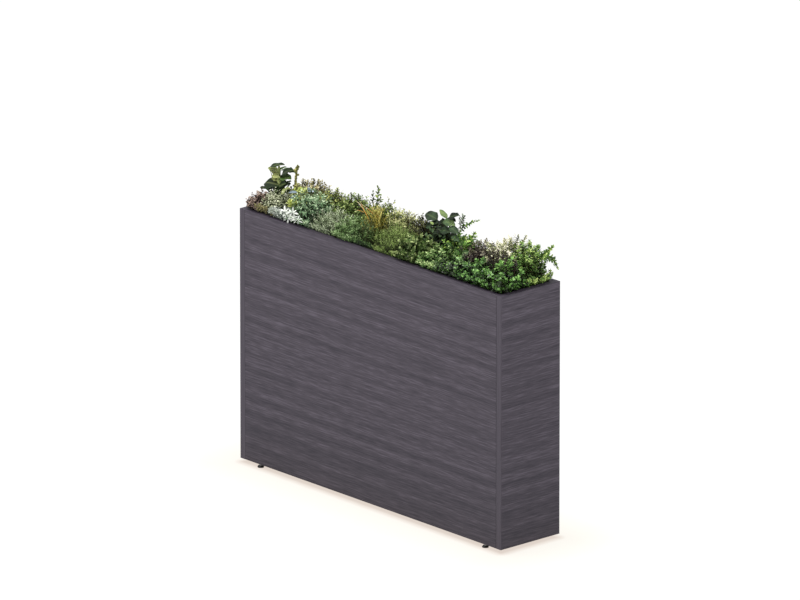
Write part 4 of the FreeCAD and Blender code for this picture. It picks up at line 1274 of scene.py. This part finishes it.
# %% Sprigs, one by one
# Each row holds the pixels of foot, middle and tip, then depth, leaves, their length and how light.
SPRIGS = [
    ("orange_twig_sprig", OVAL, dict(angle=(65, 15)), [
        (375.4, 206, 378, 197, 378.0, 187.6, 0.062, 14, 0.023, 0.25)]),
    ("orange_twig_sprig", OVAL, dict(angle=(55, 20)), [
        (373.6, 206, 373.0, 199, 373.0, 191.6, 0.062, 13, 0.018, 0.1)]),
    ("orange_twig_sprig", OVAL, dict(angle=(55, 25)), [
        (376, 206, 380.0, 201, 380.6, 195.6, 0.062, 9, 0.016, 0.25)]),
    ("feather_sprig", OVAL, dict(pairs=True), [
        (387.5, 211, 388, 204, 388.4, 198.4, 0.062, 8, 0.016, 0.0),
        (389, 211, 391.5, 206, 394.4, 201.4, 0.062, 8, 0.016, 0.1),
        (388.5, 213, 386.5, 208, 385.0, 204.0, 0.062, 6, 0.014, 0.0)]),
    ("lime_sprig_bush", OVAL, dict(stem=0.0009), [
        (458.5, 233, 467, 225.0, 479.6, 220.2, 0.062, 34, 0.0140, 0.20)]),
    ("lime_sprig_bush", OVAL, dict(angle=(75, 40)), [
        (459, 234, 461.6, 222, 462.6, 214.4, 0.062, 34, 0.0110, 0.0)]),
    ("lime_sprig_bush", OVAL, {}, [
        (464, 245, 470, 239, 475.0, 234.0, 0.062, 14, 0.018, 0.25),
        (458, 244, 463, 240, 466.0, 235.6, 0.062, 12, 0.020, 0.25)]),
    ("cream_tip_bush", OVAL, {}, [
        (494, 254, 490, 248, 485.4, 244.0, 0.062, 30, 0.0130, 0.4),
        (505, 249, 505, 243, 504.0, 238.2, 0.062, 30, 0.0130, 0.45),
        (513, 249, 517, 241, 518.3, 234.2, 0.062, 28, 0.0120, 0.0),
        (519, 249, 523.6, 241, 526.2, 236.2, 0.062, 26, 0.0130, 0.2),
        (509, 252, 510.4, 245, 510.6, 240.0, 0.062, 24, 0.0120, 0.3)]),
    ("drooping_sprig_bush", OVAL, {}, [
        (537, 260, 546, 253, 552.6, 246.4, 0.100, 38, 0.0195, 0.3),
        (541, 255, 551.5, 258.5, 557.4, 268.0, 0.112, 40, 0.0200, 0.25),
        (529, 257, 535.6, 250, 538.4, 246.2, 0.062, 24, 0.0150, 0.25)]),
    ("olive_bush", OVAL, {}, [
        (336, 201, 336.8, 194, 337.4, 188.8, 0.062, 26, 0.0150, 0.35),
        (327, 201, 328, 194, 328.4, 189.4, 0.062, 22, 0.0125, 0.1)]),
    ("olive_sprig_bush", OVAL, {}, [
        (351, 203, 351.4, 197, 351.0, 193.0, 0.062, 18, 0.0140, 0.1),
        (357, 205, 358.4, 199, 358.8, 194.6, 0.062, 18, 0.0130, 0.1)]),
    ("brown_tip_bush", OVAL, {}, [
        (301, 191, 302.4, 184, 303.0, 179.2, 0.083, 26, 0.0120, 0.3),
        (311.5, 190, 313.6, 183, 313.8, 179.4, 0.083, 28, 0.0120, 0.1),
        (317.5, 194, 320.5, 189, 323.2, 186.2, 0.083, 22, 0.0120, 0.1)]),
    ("speckled_bush", OVAL, {}, [
        (408.6, 223, 407.6, 217, 406.9, 212.6, 0.062, 14, 0.0105, -0.1)]),
    ("speckled_bush", NARROW, {}, [
        (409, 222, 413.5, 217, 418.6, 213.8, 0.062, 14, 0.0085, 0.1)]),
    ("burgundy_sprig", OVAL, {}, [
        (257, 207, 251.5, 203, 248.8, 197.6, -0.094, 20, 0.0100, 0.0)]),
    ("lime_sprig_bush", OVAL, dict(angle=(80, 50)), [
        (463, 226, 463.4, 220, 464.6, 215.4, 0.062, 24, 0.0105, -0.25),
        (460, 226, 460.0, 220, 459.8, 216.0, 0.062, 22, 0.0100, -0.25)]),
    ("lime_sprig_bush", OVAL, {}, [
        (468, 256, 465, 248, 466.5, 241.0, 0.020, 9, 0.030, 0.30)]),
    ("light_green_bush", PLUMP, dict(angle=(60, 30)), [
        (452, 256, 455, 250, 461, 244.5, 0.0, 5, 0.046, 0.15),
        (456, 264, 459, 258, 463, 252.5, -0.02, 5, 0.042, 0.1)]),
    ("brown_tip_bush", OVAL, {}, [
        (307, 192, 307.6, 185, 308.0, 180.0, 0.083, 26, 0.0130, 0.3),
        (303, 192, 304.6, 186, 305.4, 180.6, 0.083, 26, 0.0130, 0.2),
        (315.4, 192, 317.4, 186, 318.2, 181.4, 0.083, 26, 0.0130, 0.2)]),
    ("green_juniper", NARROW, dict(angle=(75, 40)), [
        (366, 240, 367, 233, 368.4, 225, -0.108, 60, 0.0150, 0.30),
        (371, 241, 372, 234, 372.6, 227, -0.108, 60, 0.0150, 0.25)]),
    ("moss_green_bush", NARROW, dict(angle=(75, 40)), [
        (377, 243, 377.4, 236, 377.0, 229, -0.108, 60, 0.0150, 0.15),
        (383, 244, 382.6, 238, 383.0, 230, -0.108, 60, 0.0150, 0.15)]),
    ("purple_leaf_bush", OVAL, dict(angle=(75, 40)), [
        (489, 276, 489.6, 262, 489.0, 249, -0.045, 56, 0.0165, 0.0),
        (497, 278, 497.4, 264, 498.0, 250, -0.045, 56, 0.0165, 0.0),
        (506, 279, 506.4, 266, 507.4, 253, -0.045, 56, 0.0165, 0.0),
        (514, 280, 514.6, 270, 515.6, 261, -0.045, 48, 0.0165, 0.0)]),
    ("golden_grass", NARROW, dict(angle=(80, 45)), [
        (377.5, 216, 377.6, 210, 377.0, 206.0, -0.040, 34, 0.0150, 0.5),
        (381.0, 216, 381.0, 211, 380.4, 207.6, -0.040, 30, 0.0150, 0.5),
        (374.5, 217, 374.0, 212, 373.8, 208.6, -0.040, 26, 0.0140, 0.4)]),
    ("purple_leaf_bush", OVAL, dict(angle=(75, 40)), [
        (493, 276, 493.4, 263, 493.6, 249, -0.045, 56, 0.0165, 0.0),
        (502, 277, 502.4, 265, 503.0, 251, -0.045, 56, 0.0165, 0.0)]),
]
seed = 0
for name, form, facts, rows in SPRIGS:
    for *pixels, depth, count, length, lighter in rows:
        sprig(name, pixels, depth, count, length, form, seed, lighter=lighter, **facts)
        seed += 1
print(seed, "sprigs")

# %% [markdown]
# ### Spike, twigs and blue leaves
#
# A knobbly olive spike stands at the left, where tight clusters of buds sit on one stalk. A few bare
# twigs, orange fading to straw, lean over the middle tray. Pointed leaves with a blue bloom lie
# between the rosettes. Bead, twig and leaf are the same sheets and tubes again, placed by pixels.


# %% The spike of beads
def beads(line, count, radius, reach, seed):
    """Small closed balls round a curve, each a golden angle on from the last: a circle of latitude
    for each row of the grid, whose radius is the sine of the way from pole to pole."""
    rng = np.random.default_rng(seed)
    foot, ahead = curve(line, np.linspace(0.0, 1.0, count))
    away = around(ahead, (np.arange(count) * GOLDEN)[None])
    centre = (foot + away * reach * rng.uniform(0.5, 1.1, (1, count, 1)))[0]
    pole, turn = np.meshgrid(np.linspace(0, np.pi, 6), np.arange(7) * 2 * np.pi / 7, indexing="ij")
    ball = np.stack([np.sin(pole) * np.cos(turn), np.sin(pole) * np.sin(turn), np.cos(pole)], -1)
    size = radius * rng.uniform(0.7, 1.15, (count, 1, 1, 1))
    return centre[:, None, None] + ball[None] * size, rng.uniform(0.3, 1.0, count)


spike = "bead_spike"
SPIKE_DEPTH = 0.082
spike_finish = leafy(spike, "2c3212", "74783a", "b4b06e", roughness=0.6, rib=0.0)
grow(spike, "left", 0.030, 0.036, spike_finish, SMALL)
leaves, wood = grown[spike][:2]
for seed, *pixels, count, radius, reach in (
    (31, 295.2, 188, 295.8, 178, 296.8, 167.6, 64, 0.0034, 0.0030),
    (32, 296.4, 170, 297.2, 168, 298.0, 166.0, 26, 0.0038, 0.0048),
    (33, 296.0, 173, 294.6, 171, 294.2, 169.6, 12, 0.0034, 0.0026),
    (34, 295.6, 176, 297.6, 174.8, 298.6, 174.6, 9, 0.0030, 0.0020),
):
    line = pixel_line(pixels, SPIKE_DEPTH)
    balls, tone = beads(line, count, radius, reach, seed)
    leaves.add(balls, tone, tube=True)
    wood.add(stem_tubes(line, 0.0026, 0.0016, 8, 6), 0.5, tube=True)
print(len(grown), "plants, all that there are")

# %% Rosettes that show one by one
for seed, *pixels, depth, lighter in (
    (41, 298, 199, 296.6, 195, 295.4, 191.0, -0.02, 0.2),
    (42, 300, 199, 300.2, 194, 300.2, 189.6, -0.02, 0.2),
    (43, 302.6, 200, 304, 195, 304.8, 190.6, -0.02, 0.2),
    (44, 292.0, 212, 290.4, 207, 289.8, 201.6, -0.105, 0.3),
    (45, 295.6, 213, 295.0, 208, 294.4, 203.0, -0.105, 0.3),
    (46, 292.0, 213, 291.8, 209, 292.0, 205.0, -0.108, 0.3),
):
    sprig("lime_rosettes", pixels, depth, 22, 0.0215, OVAL, seed, (0.7, 1.0), (100, 15), bend=-0.5,
          cup=0.35, young=0.5, lighter=lighter)


# %% The finish of a twig
def straw(name, foot, middle, tip):
    """A stem that changes colour from foot to tip, with fine streaks: the share along it is its UV."""
    finish = Finish(name, 0.55, Specular_IOR_Level=0.3)
    streak = finish.grain(420)
    share = finish.on_leaf(0) + (streak - 0.5) * 0.3
    return finish.feed(
        Base_Color=finish.ramp(share, [(0.1, foot), (0.5, middle), (0.9, tip)]),
        Roughness=0.5 + streak * 0.2,
        Normal=finish.bump(streak, 0.3, 0.0003),
    )


# %% Orange twigs
orange = Gatherer()
for thick, *pixels, depth in (
    (0.0013, 370.2, 223, 364.5, 211, 357.4, 201.6, -0.075),
    (0.0007, 364.5, 211, 362.0, 205, 359.8, 201.2, -0.072),
    (0.0009, 377.0, 219, 369.5, 210, 361.5, 204.6, -0.065),
    (0.0009, 363.5, 212.4, 359, 210.4, 354.8, 211.4, -0.080),
    (0.0009, 380.0, 221, 375, 212, 369.5, 206.5, -0.060),
):
    line = through(pixel_line(pixels, depth))
    orange.add(stem_tubes(line, thick, thick * 0.4, 12, 6), 0.5, tube=True)
twig_finish = straw("orange_twigs", "c08a3c", "dc8c3a", "f0deb8")
stand("orange_twigs", orange.mesh("orange_twigs"), twig_finish, "middle_tray",
      "orange_twig_sprig", "orange_twig_sprig")
print("orange twigs have", orange.count, "points")

# %% Blue leaves
BLUE_FACE = np.array([0.2, -0.4, 0.9])
BLUE_SLANT = 0.012
blue = Gatherer()
for u0, v0, u1, v1, width, tone, depth in (
    (297.0, 192.6, 287.6, 191.2, 0.34, 0.26, -0.060), (296.6, 195.4, 288.4, 198.0, 0.34, 0.16, -0.070),
    (305.6, 190.8, 313.0, 190.0, 0.28, 0.6, 0.0), (305.0, 189.6, 310.4, 187.6, 0.28, 0.3, 0.0),
):
    base, tip = seen_at(u0, v0, depth), seen_at(u1, v1, depth - BLUE_SLANT)
    ahead = unit(tip - base)
    shape = BROAD._replace(width=width)
    length = np.linalg.norm(tip - base)
    blue.add(one_leaf(base, ahead, square_to(ahead, BLUE_FACE), length, shape, 0.3, 0.2), tone)
blue_finish = leafy("blue_leaves", "46525a", "84949f", "c2ccd4", roughness=0.6, rib=0.1)
stand("blue_leaves", blue.mesh("blue_leaves"), blue_finish, "left_tray", "lime_rosettes", "lime_rosettes")
print("blue leaves have", blue.count, "points")

# %% Turning the plants into pieces
for name, (leaves, wood, finish, stems, tray) in grown.items():
    body = tray + "_tray"
    stand(name + "_leaves", leaves.mesh(name + "_leaves"), finish, body, name, name)
    if wood.count:
        stand(name + "_stems", wood.mesh(name + "_stems"), stems, body, name, name)
soft = [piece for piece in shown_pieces() if "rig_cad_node" not in piece]
print(len(soft), "soft pieces,", 2 * sum(len(piece.data.polygons) for piece in soft), "triangles")
